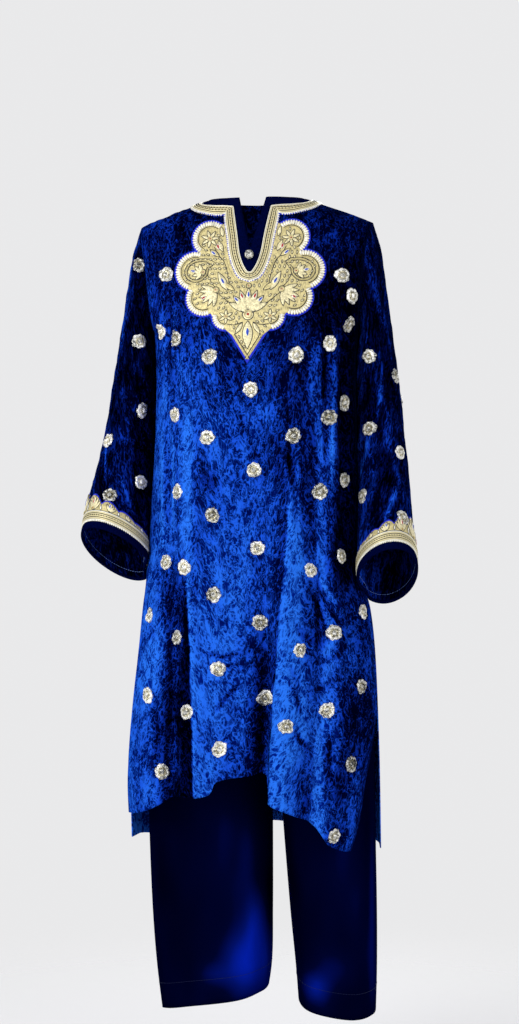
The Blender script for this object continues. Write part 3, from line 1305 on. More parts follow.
def ground(name, carry, outline, inner, lift, thickness, dome=None):
    """A flat patch within an outline, with inner points between, given its thickness inwards."""
    outline = [tuple(p) for p in outline]
    points = [Vector(p) for p in outline] + [Vector(p) for p in inner]
    count = len(outline)
    flat, _, faces, _, _, _ = delaunay_2d_cdt(points, [], [list(range(count))], 1, 1e-5)
    flat = np.array([tuple(p) for p in flat])
    places, normals = carry(flat)
    rise = np.full(len(flat), float(lift)) if dome is None else lift + dome(flat)
    patch = make_object(name, places + normals * rise[:, None], faces, flat * MM)
    turned = patch.data.polygons[0].normal.dot(Vector(normals[faces[0][0]]))
    if turned < 0:
        patch.data.flip_normals()
    solidify(patch, thickness)
    return patch


print("tilla tools ready")

# %% [markdown]
# ## Neck binding and braid
#
# A strip of navy velvet binds the neck and the slit and meets below it, where the ball button sits.
# A braid runs all round beside it: gold cords with dark stitches across them, between two scalloped
# silvery edges. Both follow one line, the binding's outer edge, drawn on the front and on the back
# and moved out by a distance for each cord.

# %% Lines of the bands
BINDING_WIDTH, BRAID_WIDTH = 13, 16
BAND_LINES = {
    True: [
        (87, 31), (86, 3), (66, -5), (44, -7), (29, -9), (25, -30), (20, -58), (16, -84), (10, -103), (3, -115),
        (0, -116),
    ],
    False: [(87, 31), (87, 7), (80, 0), (64, -4), (44, -4), (22, -1), (0, 2)],
}
NECK_CORNER = 4


def shoulder_height(x):
    """Height of the shoulder's ridge at a distance from the middle."""
    t = np.clip((np.abs(x) - NECK_HALF) / (SHOULDER_HALF - NECK_HALF), 0, 1)
    return mix(NECK_SIDE_Z, SHOULDER_TIP_Z, t**SHOULDER_SLOPE)


def band_half(front, distance):
    """The band line moved out by a distance, on the wearer's left, from the ridge to the middle."""
    line = np.array(BAND_LINES[front], float)
    step = np.gradient(line, axis=0)
    step /= np.linalg.norm(step, axis=1, keepdims=True)
    moved = line + np.stack([-step[:, 1], step[:, 0]], 1) * distance
    moved[-1, 0] = 0
    if front:
        fine = np.concatenate([flow(moved[: NECK_CORNER + 1], 0.25), flow(moved[NECK_CORNER:], 0.25)[1:]])
    else:
        fine = flow(moved, 0.25)
    below = fine[:, 1] < shoulder_height(fine[:, 0]) - 0.02
    return fine[np.argmax(below):]


def band_path(front, distance, pitch=2.0):
    """The whole line of a band from one ridge to the other, spaced by lengths on the cloth."""
    half = band_half(front, distance)
    places, _ = on_body(front)(half)
    lengths = lengths_along(places)
    at = np.linspace(0, lengths[-1], int(lengths[-1] / pitch) + 1)
    even = np.stack([np.interp(at, lengths, column) for column in half.T], 1)
    return np.concatenate([even, (even * (-1, 1))[::-1][1:]])


# %% Grounds of the bands
def neck_edge(front, reach):
    """The panel's own edge on the wearer's left, from the middle or the slit's foot to the ridge."""
    rim = (front_grid if front else back_grid[:, ::-1])[0][:, [0, 2]]
    rim = rim[np.argsort(rim[:, 0])]
    middle = len(rim) // 2
    left = rim[middle + 1:] if front else rim[middle:]
    left = left[left[:, 0] < reach]
    if front:
        left = left[left[:, 0] > SLIT_HALF]
        slit = [
            (0.0, SLIT_END_Z), (SLIT_HALF * 0.5, mix(SLIT_END_Z, SLIT_TOP_Z, 0.5)), (SLIT_HALF - 0.2, SLIT_TOP_Z - 0.5),
        ]
        left = np.concatenate([resample(slit, 3.0), left])
    return np.concatenate([left, [(reach, shoulder_height(reach))]])


def inside_outline(points, outline):
    """Which points lie inside a closed outline."""
    x, z = points[:, 0], points[:, 1]
    found = np.zeros(len(points), bool)
    for (ax, az), (bx, bz) in zip(outline, np.roll(outline, -1, 0)):
        crosses = (az > z) != (bz > z)
        with np.errstate(divide="ignore", invalid="ignore"):
            found ^= crosses & (x < (bx - ax) * (z - az) / (bz - az) + ax)
    return found


def edge_distance(points, outline):
    """Distance of each point from a closed outline."""
    nearest = np.full(len(points), 1e9)
    for a, b in zip(outline, np.roll(outline, -1, 0)):
        step = b - a
        t = np.clip(((points - a) @ step) / max(step @ step, 1e-9), 0, 1)[:, None]
        nearest = np.minimum(nearest, np.linalg.norm(points - a - step * t, axis=1))
    return nearest


def well_inside(points, outline, margin):
    points = points[inside_outline(points, outline)]
    return points[edge_distance(points, outline) > margin]


def grid_points_inside(front, outline, margin=0.7):
    """The cloth's own grid points within an outline, which is dense where the cloth curves most."""
    grid = front_grid if front else back_grid
    flat = grid.reshape(-1, 3)[:, [0, 2]]
    flat = flat[np.all((flat > outline.min(0)) & (flat < outline.max(0)), axis=1)]
    flat = well_inside(flat, outline, margin)
    kept = []
    for p in flat:
        if not kept or np.min(np.abs(np.array(kept[-60:]) - p).sum(1)) > 0.3:
            kept.append(p)
    return np.array(kept)


def binding_outline(front):
    inner = neck_edge(front, NECK_HALF + BINDING_WIDTH)
    if not front and inner[0, 0] == 0:
        inner = inner[1:]
    right = (inner * (-1, 1))[::-1]
    return np.concatenate([right, inner[1:] if front else inner, band_path(front, 0)[1:-1]])


def rolled(outline, height, width=3.0):
    """A height that rises quickly from the edges, as a folded strip does."""
    return lambda flat: height * np.sqrt(np.clip(edge_distance(flat, outline) / width, 0, 1))


BINDING_CUT = {True: (0.0135, 0.6), False: (0.0165, 0.4)}
for front_side, word in PANELS:
    carry, outline = on_body(front_side), binding_outline(front_side)
    inner = grid_points_inside(front_side, outline)
    strip = ground("binding_" + word, carry, outline, inner, 0.5, 0.8, rolled(outline, 1.2))
    finish_piece(strip, BINDING, "binding", "neck_binding_" + word)
    BINDING_CUT[front_side]
    outline = np.concatenate([band_path(front_side, 0.6), band_path(front_side, BRAID_WIDTH)[::-1]])
    braid = ground("braid_ground_" + word, carry, outline, grid_points_inside(front_side, outline), 1.0, 0.7)
    finish_piece(braid, GOLD, "tilla", "neck_braid_" + word)

# %% [markdown]
# ## Drawing with motifs
#
# A drawing gathers raised shapes, coloured drops and cords, each with its mirror image, and turns
# them into a few meshes at the end. The motifs are the common ones of such work: petals in fans and
# flowers, almond leaves, small drops, rosettes with a dot, and shell edges.

# %% The drawing
class Drawing:
    """Shapes and cords in named finishes, drawn with their mirror images."""

    def __init__(self, carry, mirror=True):
        self.carry, self.sides = carry, (1, -1) if mirror else (1,)
        self.works, self.lines, self.taken = defaultdict(Work), defaultdict(list), []

    def raised(self, finish, outline, height=1.3, angle=0.0, lift=1.0):
        for side in self.sides:
            shape = np.asarray(outline) * (side, 1)
            self.taken.append(shape)
            raise_shape(self.works[finish], self.carry, shape, lift, height, angle * side)

    def cord(self, finish, line, lift=1.6, smooth=True):
        line = flow(line, 1.6) if smooth else np.asarray(line, float)
        for side in self.sides:
            self.lines[finish].append(carried_line(self.carry, line * (side, 1), lift))

    def outline(self, finish, outline, lift=1.5):
        self.cord(finish, np.concatenate([outline, outline[:1]]), lift, smooth=False)

    def leaf(self, x, z, angle, length, width, finish="pale", height=1.3, point=1.6):
        shape = petal(x, z, angle, length, width, point)
        self.raised(finish, shape, height, math.radians(angle))
        self.outline("dark", shape)

    def drop(self, x, z, angle, length, width, finish):
        a = math.radians(angle)
        for color, rim, lift in (("white", 1.1, 2.0), (finish, 0, 2.5)):
            back = length / 2 + rim
            shape = petal(x - back * math.cos(a), z - back * math.sin(a), angle, length + 2 * rim, width + 2 * rim, 1.5)
            self.raised(color, shape, 0.9, a, lift)

    def fan(self, x, z, angle, spread, count, length, width, finish="pale"):
        for i in range(count):
            turn = angle + spread * (i / (count - 1) - 0.5)
            shorter = 1 - 0.12 * abs(2 * i / (count - 1) - 1)
            self.leaf(x, z, turn, length * shorter, width, finish, 1.3, 1.1)

    def rosette(self, x, z, radius):
        self.raised("pale", disc(x, z, radius), 1.2)
        self.outline("dark", disc(x, z, radius + 0.2, 24))
        self.outline("gold", disc(x, z, radius * 0.66, 20), 2.6)
        self.raised("red", disc(x, z, radius * 0.24, 10), 1.2, lift=2.0)

    def fill(self, places, centre, taken, room=1.2, far=45):
        """Small leaves on the places that no motif covers, each turned a little off a centre."""
        for x, z in places:
            away = math.atan2(z - centre[1], x - centre[0])
            shape = petal(x, z, math.degrees(away) + 35, 5.6, 2.6, 1.0, 10)
            near = [t for t in taken if np.hypot(*(t.mean(0) - (x, z))) < far]
            if all(not inside_outline(shape, t).any() and edge_distance(shape, t).min() > room for t in near):
                raise_shape(self.works["pale"], self.carry, shape, 1.0, 1.1, away)
                self.outline("dark", shape)

    def flower(self, x, z, radius, count, turn):
        for i in range(count):
            self.leaf(x, z, turn + 360 * i / count, radius, radius * 2.4 / count, "pale", 1.2, 0.9)
        self.rosette(x, z, radius * 0.33)

    def make(self, name):
        for finish, work in self.works.items():
            work.make(f"{name}_{finish}", FINISHES[finish])
        for finish, lines in self.lines.items():
            make_cords(f"{name}_{finish}_cord", lines, CORD_RADII[finish], FINISHES[finish])


FINISHES = {
    "gold": GOLD, "pale": PALE_GOLD, "white": WHITE_GOLD, "dark": DARK_CORD,
    "red": RED_DROP, "blue": BLUE_DROP, "edge": BLUE_EDGE,
}
CORD_RADII = {"gold": 0.75, "pale": 0.8, "white": 0.7, "dark": 0.55, "edge": 1.1}

# %% [markdown]
# ## The yoke
#
# The yoke is a ground of couched gold in four round lobes on each side of the slit, which run down
# to a point. Shell edging follows every lobe, and a bright blue edge frames the whole. On the
# ground stand a lotus under the slit, a flower and a curled almond in the upper lobes, and fans and
# leaves in the lower ones.

# %% Outline of the yoke
YOKE_LOBES = [(63, -62, 27), (85, -114, 30), (70, -157, 27), (34, -186, 21)]
YOKE_CORE = np.array([(0, -40), (46, -40), (92, -110), (78, -160), (50, -188), (24, -216), (0, -254)], float)
YOKE_TOP_Z = -38


def yoke_side(grow=0.0, step=3.0):
    """The yoke's edge on the wearer's left, from the top of the first lobe to the point."""
    core = np.concatenate([YOKE_CORE, (YOKE_CORE * (-1, 1))[::-1]])
    kept = []
    for x, z, radius in YOKE_LOBES:
        angles = np.radians(np.arange(132, -175, -step * 57 / radius))
        arc = np.stack([x + (radius + grow) * np.cos(angles), z + (radius + grow) * np.sin(angles)], 1)
        free = ~inside_outline(arc, core)
        for ox, oz, other in YOKE_LOBES:
            if (ox, oz) != (x, z):
                free &= np.hypot(arc[:, 0] - ox, arc[:, 1] - oz) > other + grow
        kept.append(arc[free])
    end = np.array([(24 + 0.85 * grow, -216 - 0.53 * grow), (0, -254 - 1.87 * grow)])
    return kept, end


def yoke_outline(grow=0.0):
    arcs, end = yoke_side(grow)
    side = np.concatenate([*arcs, resample(end, 3.0)])
    slit = band_path(True, BRAID_WIDTH - 0.5)
    slit = slit[slit[:, 1] < YOKE_TOP_Z][::-1]
    return np.concatenate([side, (side * (-1, 1))[::-1][1:], slit])


def spread_points(outline, pitch, margin=1.5):
    low, high = outline.min(0), outline.max(0)
    x, z = np.meshgrid(np.arange(low[0], high[0], pitch), np.arange(low[1], high[1], pitch))
    x = x + pitch / 2 * (np.arange(x.shape[0]) % 2)[:, None]
    return well_inside(np.stack([x.ravel(), z.ravel()], 1), outline, margin)


carry_front = on_body(True)
edge_outline = yoke_outline(3.2)
edge = ground("yoke_blue_edge", carry_front, edge_outline, spread_points(edge_outline, 4.5), 0.7, 0.5)
finish_piece(edge, BLUE_EDGE, "tilla")
gold_outline = yoke_outline()
gold_ground = ground("yoke_gold_ground", carry_front, gold_outline, spread_points(gold_outline, 3.2), 1.25, 0.9)
finish_piece(gold_ground, GOLD, "tilla", "yoke_embroidery")

# %% Motifs of the yoke
yoke = Drawing(carry_front)
arcs, end = yoke_side()
for (x, z, radius), arc in zip(YOKE_LOBES, arcs):
    drawn_in = lambda line, by: (x, z) + (line - (x, z)) * (radius - by) / radius
    for point in resample(arc, 4.1)[:-1]:
        out = math.degrees(math.atan2(point[1] - z, point[0] - x))
        yoke.raised("white", petal(*drawn_in(point, 7), out, 8.6, 3.7, 0.8), 1.6)
    yoke.cord("dark", drawn_in(arc, 8), smooth=False)
    yoke.cord("gold", drawn_in(arc, 9.4), smooth=False)
yoke.cord("gold", resample(end + (-2.2, 0.9), 2), 1.8, smooth=False)
yoke.cord("dark", resample(end + (-4.0, 1.6), 2), 1.6, smooth=False)

yoke.flower(63, -63, 14.5, 7, 20)
yoke.leaf(43, -60, 78, 17, 6.5)
yoke.leaf(42, -84, 66, 20, 7)
yoke.drop(50, -76, 72, 8, 3.2, "red")
yoke.leaf(47, -92, 38, 20, 7, "gold")
yoke.drop(57, -86, 40, 8, 3, "blue")

almond = flow([
    (54, -101), (66, -95), (84, -96), (98, -105), (101, -119), (92, -130), (77, -131), (66, -122), (63, -111),
    (56, -104),
], 1.6)
yoke.cord("dark", almond, smooth=False)
middle = np.array([(82, -114)])
yoke.cord("gold", middle + (almond - middle) * 0.88, smooth=False)
yoke.cord("dark", middle + (almond - middle) * 0.77, smooth=False)
yoke.fan(74, -117, 12, 120, 5, 17, 6)
yoke.rosette(72, -116, 4.6)
yoke.drop(88, -114, 10, 7, 2.8, "blue")

yoke.fan(51, -146, -32, 104, 6, 29, 7.4)
yoke.rosette(51, -145, 5)
yoke.drop(70, -157, -32, 7.5, 2.8, "red")

yoke.flower(34, -187, 11.5, 6, -30)
yoke.leaf(33, -146, 62, 34, 11)
yoke.drop(41, -131, 62, 10, 3.6, "blue")
yoke.leaf(22, -146, 34, 24, 8, "gold")

yoke.cord("dark", [(3, -184), (20, -172), (36, -160), (48, -150)])
yoke.cord("dark", [(8, -196), (20, -200), (32, -199)])
yoke.cord("dark", [(53, -140), (58, -134), (62, -126), (66, -120)])
yoke.cord("dark", [(30, -140), (34, -118), (40, -100), (50, -88), (56, -76)])
yoke.cord("gold", [(8, -134), (22, -128), (32, -112), (38, -92)])
yoke.leaf(8, -197, -58, 21, 6.5)

lotus = Drawing(carry_front, mirror=False)
lotus.fan(0, -180, 90, 128, 7, 38, 10.5)
for turn, finish in ((90, "blue"), (68, "red"), (112, "red"), (46, "blue"), (134, "blue")):
    a = math.radians(turn)
    lotus.drop(27 * math.cos(a), -180 + 27 * math.sin(a), turn, 8.5, 3.2, finish)
lotus.rosette(0, -184, 8.5)
lotus.leaf(0, -194, -90, 44, 16, height=1.6)
lotus.drop(0, -212, -90, 13, 4.4, "blue")
lotus.rosette(0, -139, 4)
inner = []
for x, z, radius in YOKE_LOBES:
    for side in (1, -1):
        inner.append(disc(side * x, z, radius - 12, 30))
inner.append(np.concatenate([YOKE_CORE * 0.94 + (0, -4), ((YOKE_CORE * 0.94 + (0, -4)) * (-1, 1))[::-1]]))
free = spread_points(gold_outline, 7.5, 6)
free = free[np.any([inside_outline(free, part) for part in inner], axis=0)]
lotus.fill(free, (0, -165), yoke.taken + lotus.taken)
yoke.make("yoke")
lotus.make("lotus")

# %% [markdown]
# ## The braid's cords
#
# Four gold cords run side by side round the neck and the slit, dark stitches tie the middle ones
# down in a ladder, and a row of small silvery petals scallops each edge.

# %% Braid: finish, radius, lift and distances from the binding of its cords
BRAID_CORDS = (
    ("pale", 0.95, 1.5, (3.4, 6.6, 9.8, 13.0)), ("dark", 0.4, 1.35, (5.0, 11.4)), ("white", 0.85, 1.5, (1.3, 15.3)),
    ("edge", 0.9, 0.8, (BRAID_WIDTH + 1.3,)),
)
STITCH_PITCH, STITCH_RADIUS, SCALLOP_PITCH = 5.0, 0.5, 3.6


def line_on(front, distance, lift, pitch=2.0):
    return carried_line(on_body(front), band_path(front, distance, pitch), lift)


def nearest_on(line, points):
    return np.array([line[np.argmin(np.linalg.norm(line - p, axis=1))] for p in points])


def cross_stitches(front, near, far, lift):
    """Short lines from one cord to the next."""
    start, end = line_on(front, near, lift, STITCH_PITCH), line_on(front, far, lift, 1.0)
    return [np.stack(pair) for pair in zip(start, nearest_on(end, start))]


for front_side, word in PANELS:
    for finish, radius, lift, distances in BRAID_CORDS:
        lines = [line_on(front_side, distance, lift) for distance in distances]
        make_cords(f"braid_{word}_{finish}", lines, radius, FINISHES[finish])
    ladder = cross_stitches(front_side, 7.0, 9.4, 2.1) + cross_stitches(front_side, 3.8, 6.2, 2.0)
    make_cords(f"braid_{word}_stitches", ladder, STITCH_RADIUS, DARK_CORD)
    scallops = Drawing(on_body(front_side), mirror=False)
    base_line, tip_line = band_path(front_side, 14.2, SCALLOP_PITCH), band_path(front_side, 17.4, 1.0)
    for base, tip in zip(base_line[1:-1], nearest_on(tip_line, base_line)[1:-1]):
        turn = math.degrees(math.atan2(*(tip - base)[::-1]))
        scallops.raised("white", petal(*base, turn, 4.2, 3.4, 0.7, 12), 1.0, lift=0.9)
    scallops.make(f"braid_{word}_scallops")

# %% [markdown]
# ## Cuffs
#
# A strip of navy velvet is folded over each cuff's edge. Above it the same braid runs all round,
# and over the braid stand fans of gold leaves. They are tall at the outer front, which shows when
# the arm hangs, and low at the inside of the wrist.

# %% Cuff sizes
CUFF_BINDING_WIDTH, CUFF_BRAID_TOP = 12, 29
CUFF_HEIGHT = table(
    "turn top", (-0.5, 33), (-0.36, 35), (-0.24, 41), (-0.12, 50), (-0.02, 60), (0.07, 64),
    (0.16, 54), (0.26, 44), (0.38, 36), (0.5, 33),
)
CUFF_FANS = [
    (0.07, 5, 0, "blue"), (0.16, 5, -6, "red"), (-0.02, 5, 6, "red"), (0.245, 5, -14, "blue"),
    (-0.115, 5, 12, "blue"), (0.325, 3, -10, None), (-0.205, 5, 10, "red"), (0.395, 3, -6, None),
    (-0.285, 3, 10, None), (0.46, 3, 0, None), (-0.36, 3, 6, None), (-0.425, 3, 0, None), (-0.48, 3, 0, None),
]


def cuff_top(s, around):
    """How far up the embroidery reaches, in scallops."""
    turn = (s / around + 0.5) % 1 - 0.5
    reach = along(CUFF_HEIGHT, "top", turn)
    gap = np.min([np.abs(turn - fan[0]) for fan in CUFF_FANS], axis=0) * around
    return CUFF_BRAID_TOP + (reach - CUFF_BRAID_TOP) * (1 - 0.5 * np.clip(gap / 17, 0, 1) ** 2.2)


def ring_strip(name, carry, around, rows, thickness, pitch=2.4):
    """A closed strip round a cuff. Each row gives its lengths up and its lift."""
    columns = int(around / pitch)
    s = np.arange(columns) * around / columns
    flat = [np.stack([s, np.broadcast_to(up(s) if callable(up) else up, s.shape)], 1) for up, _ in rows]
    carried = [carry(row) for row in flat]
    grid = np.array([places + normals * lift for (places, normals), (_, lift) in zip(carried, rows)])
    flat = np.concatenate(flat) * MM
    strip = make_object(name, grid.reshape(-1, 3), grid_faces(len(rows), columns, True), flat)
    middle = len(rows) // 2
    if strip.data.polygons[(middle - 1) * columns].normal.dot(Vector(carried[middle][1][0])) < 0:
        strip.data.flip_normals()
    solidify(strip, thickness)
    return strip


def band_rows(low, top, low_lift, lift, top_lift, shares):
    """Rows of a strip from a length up to a top that changes round the cuff."""
    between = [(lambda s, share=share: mix(low, top(s), share), lift) for share in shares]
    return [(low, low_lift), *between, (top, top_lift)]


CUFF_ROLL = (
    (4, -2.0), (1, -2.1), (-0.8, -1.5), (-1.3, -0.4), (-0.8, 0.9), (0.6, 1.6), (3, 1.9), (9, 1.8), (11, 1.5),
    (12.5, 0.9),
)
CUFF_CORDS = (
    ("pale", 0.95, 1.9, (16, 19.2, 22.4, 25.6)), ("dark", 0.42, 1.75, (17.6, 24, CUFF_BRAID_TOP)),
    ("white", 0.85, 1.9, (13.6, 27.6)),
)

for name, side in ARMS:
    carry, around = on_cuff(name, side)
    strip = ring_strip("cuff_edge_" + name, carry, around, CUFF_ROLL, 0.7)
    finish_piece(strip, BINDING, "binding", "cuff_binding_" + name)
    top, blue_top = (lambda s: cuff_top(s, around)), (lambda s: cuff_top(s, around) + 2.6)
    low = CUFF_BINDING_WIDTH - 0.5
    rows = band_rows(low, blue_top, 0.9, 0.8, 0.6, (0.25, 0.5, 0.75, 0.92))
    finish_piece(ring_strip("cuff_blue_" + name, carry, around, rows, 0.5), BLUE_EDGE, "tilla")
    rows = band_rows(low + 0.6, top, 1.4, 1.5, 1.2, (0.2, 0.4, 0.6, 0.8, 0.93))
    finish_piece(ring_strip("cuff_gold_" + name, carry, around, rows, 0.7), GOLD, "tilla", "cuff_tilla_" + name)

    lengths = np.arange(0, around + 2.4, 2.4).clip(0, around)
    for finish, radius, lift, heights in CUFF_CORDS:
        lines = [carried_line(carry, np.stack([lengths, np.full_like(lengths, up)], 1), lift) for up in heights]
        make_cords(f"cuff_braid_{finish}_{name}", lines, radius, FINISHES[finish])
    stitches = [carried_line(carry, [(s, 19.8), (s + 0.6, 21.8)], 2.5) for s in np.arange(2, around, STITCH_PITCH)]
    make_cords("cuff_stitches_" + name, stitches, STITCH_RADIUS, DARK_CORD)

    cuff = Drawing(carry, mirror=False)
    for s in np.arange(0, around - 2, SCALLOP_PITCH):
        cuff.raised("white", petal(s, 14.4, -90, 4.4, 3.4, 0.7, 12), 1.1, lift=1.2)
    for turn, count, lean, drop in CUFF_FANS:
        s = turn * around
        height = float(cuff_top(s, around)) - CUFF_BRAID_TOP
        spread, width, finish = 84 if count == 5 else 70, max(4.2, height * 0.25), "pale" if height > 9 else "white"
        cuff.fan(s, CUFF_BRAID_TOP + 0.5, 90 + lean, spread, count, height * 0.98, width, finish)
        if height > 18:
            cuff.rosette(s, CUFF_BRAID_TOP + 3.5, 3.4)
        if drop:
            cuff.drop(s, CUFF_BRAID_TOP + 0.62 * height, 90 + lean, 0.3 * height + 1, 2.6, drop)
    turns = sorted(fan[0] for fan in CUFF_FANS)
    for turn, following in zip(turns, turns[1:] + [turns[0] + 1]):
        middle = (turn + following) / 2 * around
        height = float(cuff_top(middle, around)) - CUFF_BRAID_TOP
        cuff.leaf(middle, CUFF_BRAID_TOP + 0.4, 90, max(height * 0.9, 4), max(3.4, height * 0.3), "white")
    cuff.make("cuff_" + name)

# %% [markdown]
# ## Rosettes
#
# Small round rosettes are scattered over the tunic in a half-drop pattern: silver petals round a
# gold ring and a bright bead. A Geometry Nodes tree puts one on each place, gives it a turn and a
# slight change of size from a fixed seed, and drops every point of it onto the cloth beneath.

# %% One rosette
def rosette_metal():
    metal = new_material("rosette_silver_and_gold", (0.8, 0.79, 0.74), 0.28, Metallic=0.45, Specular_IOR_Level=0.6)
    place = add_node(metal, "TexCoord").outputs["Object"]
    wires = noise(metal, place, 900, Detail=2)
    tone = noise(metal, place, 260, Detail=2)
    worn = noise(metal, place, 24, Detail=1)
    mixed = stretch_range(metal, sum_of(metal, (wires, 1.1), (tone, 1.1), (worn, 0.7)), 1.14, 1.66)
    silver = ramp(metal, mixed, [
        (0.0, (0.004, 0.005, 0.012)), (0.22, (0.05, 0.05, 0.05)), (0.45, (0.5, 0.5, 0.46)), (1.0, (1.0, 0.99, 0.95)),
    ])
    gold = ramp(metal, mixed, [(0.0, (0.004, 0.004, 0.004)), (0.5, (0.24, 0.21, 0.12)), (1.0, (0.8, 0.74, 0.52))])
    set_color(metal, blended(metal, kept_value(metal, "warm"), silver, gold))
    bump(metal, mixed, 0.0009)
    return metal


ROSETTE_METAL = rosette_metal()
ROSETTE_RADIUS, ROSETTE_PETALS, ROSETTE_CRUMPLE = 12.8, 8, 0.35
ROSETTE_RINGS = table(
    "n size rise warm",
    (0, 1.00, -0.6, 0), (1, 1.00, 0.7, 0), (2, 0.9, 1.9, 0), (3, 0.72, 2.0, 0), (4, 0.6, 0.9, 0.3),
    (5, 0.52, 1.7, 1), (6, 0.42, 1.8, 1), (7, 0.33, 0.9, 0.7), (8, 0.25, 2.6, 0), (9, 0.12, 3.5, 0),
)


def rosette_mesh(columns=32):
    """Rings of points from the rim to the bead, crumpled by chance from a fixed seed."""
    rings = len(ROSETTE_RINGS["n"])
    angles = circle(columns)
    chance = np.random.default_rng(12)
    uneven = 1 + 0.045 * np.cos(2 * angles + 1) + 0.03 * np.cos(3 * angles) + 0.03 * np.cos(5 * angles + 2)
    lobes = np.abs(np.cos(angles * ROSETTE_PETALS / 2))
    points, warm = [], []
    for n in range(rings):
        size, rise, tone = [along(ROSETTE_RINGS, word, n) for word in ("size", "rise", "warm")]
        radius = ROSETTE_RADIUS * size * (1 - 0.1 * (1 - lobes) * (n < 4)) * uneven
        crimp = rise + (0.55 * (lobes - 0.6) if n in (2, 3) else 0) + (0.25 * np.cos(18 * angles) if n in (5, 6) else 0)
        crimp = crimp + chance.normal(0, ROSETTE_CRUMPLE, columns) * (n > 1)
        points.append(np.stack([radius * np.cos(angles), radius * np.sin(angles), crimp], 1))
        warm += [float(np.clip(tone, 0, 1))] * columns
    points = np.concatenate(points + [[(0, 0, 3.8)]])
    faces = grid_faces(rings, columns, True).tolist()
    last = (rings - 1) * columns
    faces += [[last + i, len(points) - 1, last + (i + 1) % columns] for i in range(columns)]
    faces = [face[::-1] for face in faces]
    piece = make_object("rosette_pattern", points, faces, points[:, :2] * MM)
    keep_values(piece, "warm", warm + [0.0])
    keep_values(piece, "rise", points[:, 2] * MM)
    return piece


# %% Geometry Nodes: a rosette on each place
FULL_TURN = 6.28
STRAY_SCALE, STRAY = 130, 0.005
RAY_LIFT, RAY_LENGTH = 0.014, 0.034
ROSETTE_TREE, rosette_nodes = node_tree(
    "rosettes_on_cloth",
    {
        "Places": "Geometry", "Rosette": "Object", "Cloth": "Object", "Lift": "Float", "Seed": "Int",
        "Finish": "Material",
    },
    {
        "group": "NodeGroupInput", "facing": "GeometryNodeInputNamedAttribute data_type=FLOAT_VECTOR",
        "rise": "GeometryNodeInputNamedAttribute data_type=FLOAT", "align": "FunctionNodeAlignRotationToVector axis=Z",
        "turn": "FunctionNodeRotateRotation rotation_space=LOCAL",
        "roll": "FunctionNodeRandomValue data_type=FLOAT_VECTOR", "drift": "ShaderNodeTexNoise",
        "size": "FunctionNodeRandomValue data_type=FLOAT_VECTOR", "centred": "ShaderNodeVectorMath operation=SUBTRACT",
        "strayed": "ShaderNodeVectorMath operation=MULTIPLY_ADD", "pattern": "GeometryNodeObjectInfo",
        "cloth": "GeometryNodeObjectInfo", "put": "GeometryNodeInstanceOnPoints", "where": "GeometryNodeInputPosition",
        "real": "GeometryNodeRealizeInstances", "away": "ShaderNodeVectorMath operation=SCALE",
        "start": "ShaderNodeVectorMath", "back": "ShaderNodeVectorMath operation=SCALE", "ray": "GeometryNodeRaycast",
        "total": "ShaderNodeMath", "out": "ShaderNodeVectorMath operation=SCALE", "landed": "ShaderNodeVectorMath",
        "move": "GeometryNodeSetPosition", "smooth": "GeometryNodeSetShadeSmooth", "paint": "GeometryNodeSetMaterial",
        "end": "NodeGroupOutput",
    },
    """
    group.Places > put.Points
    group.Rosette > pattern.Object
    pattern.Geometry > put.Instance
    facing.Attribute > align.Vector
    align.Rotation > turn.Rotation
    group.Seed > roll.Seed
    roll.0 > turn.Rotate By
    turn.Rotation > put.Rotation
    group.Seed > size.Seed
    size.0 > put.Scale
    put.Instances > real.Geometry
    where.Position > drift.Vector
    drift.Color > centred.0
    centred.Vector > strayed.0
    where.Position > strayed.2
    strayed.Vector > start.0
    facing.Attribute > away.0
    away.Vector > start.1
    facing.Attribute > back.0
    group.Cloth > cloth.Object
    cloth.Geometry > ray.Target Geometry
    start.Vector > ray.Source Position
    back.Vector > ray.Ray Direction
    rise.Attribute > total.0
    group.Lift > total.1
    facing.Attribute > out.0
    total.Value > out.Scale
    ray.Hit Position > landed.0
    out.Vector > landed.1
    real.Geometry > move.Geometry
    ray.Is Hit > move.Selection
    landed.Vector > move.Position
    move.Geometry > smooth.Geometry
    smooth.Geometry > paint.Geometry
    group.Finish > paint.Material
    paint.Geometry > end.Made
    """,
)
for word, socket, value in (
    ("facing", "Name", "facing"), ("rise", "Name", "rise"), ("roll", 0, (0, 0, 0)), ("roll", 1, (0, 0, FULL_TURN)),
    ("size", 0, (0.84, 0.92, 1)), ("size", 1, (0.98, 1.06, 1)), ("drift", "Scale", STRAY_SCALE),
    ("centred", 1, (0.5, 0.5, 0.5)), ("strayed", 1, (STRAY, STRAY, STRAY)), ("away", "Scale", RAY_LIFT),
    ("back", "Scale", -1), ("ray", "Ray Length", RAY_LENGTH),
):
    rosette_nodes[word].inputs[socket].default_value = value
ROSETTE = rosette_mesh()


def make_rosettes(name, places, facing, cloth, seed):
    piece = make_object(name, places, [])
    layer = piece.data.attributes.new("facing", "FLOAT_VECTOR", "POINT")
    layer.data.foreach_set("vector", np.asarray(facing, np.float32).ravel())
    run_tree(piece, ROSETTE_TREE, Rosette=ROSETTE, Cloth=cloth, Lift=0.0003, Seed=seed, Finish=ROSETTE_METAL)
    finish_piece(piece, ROSETTE_METAL, "silver")


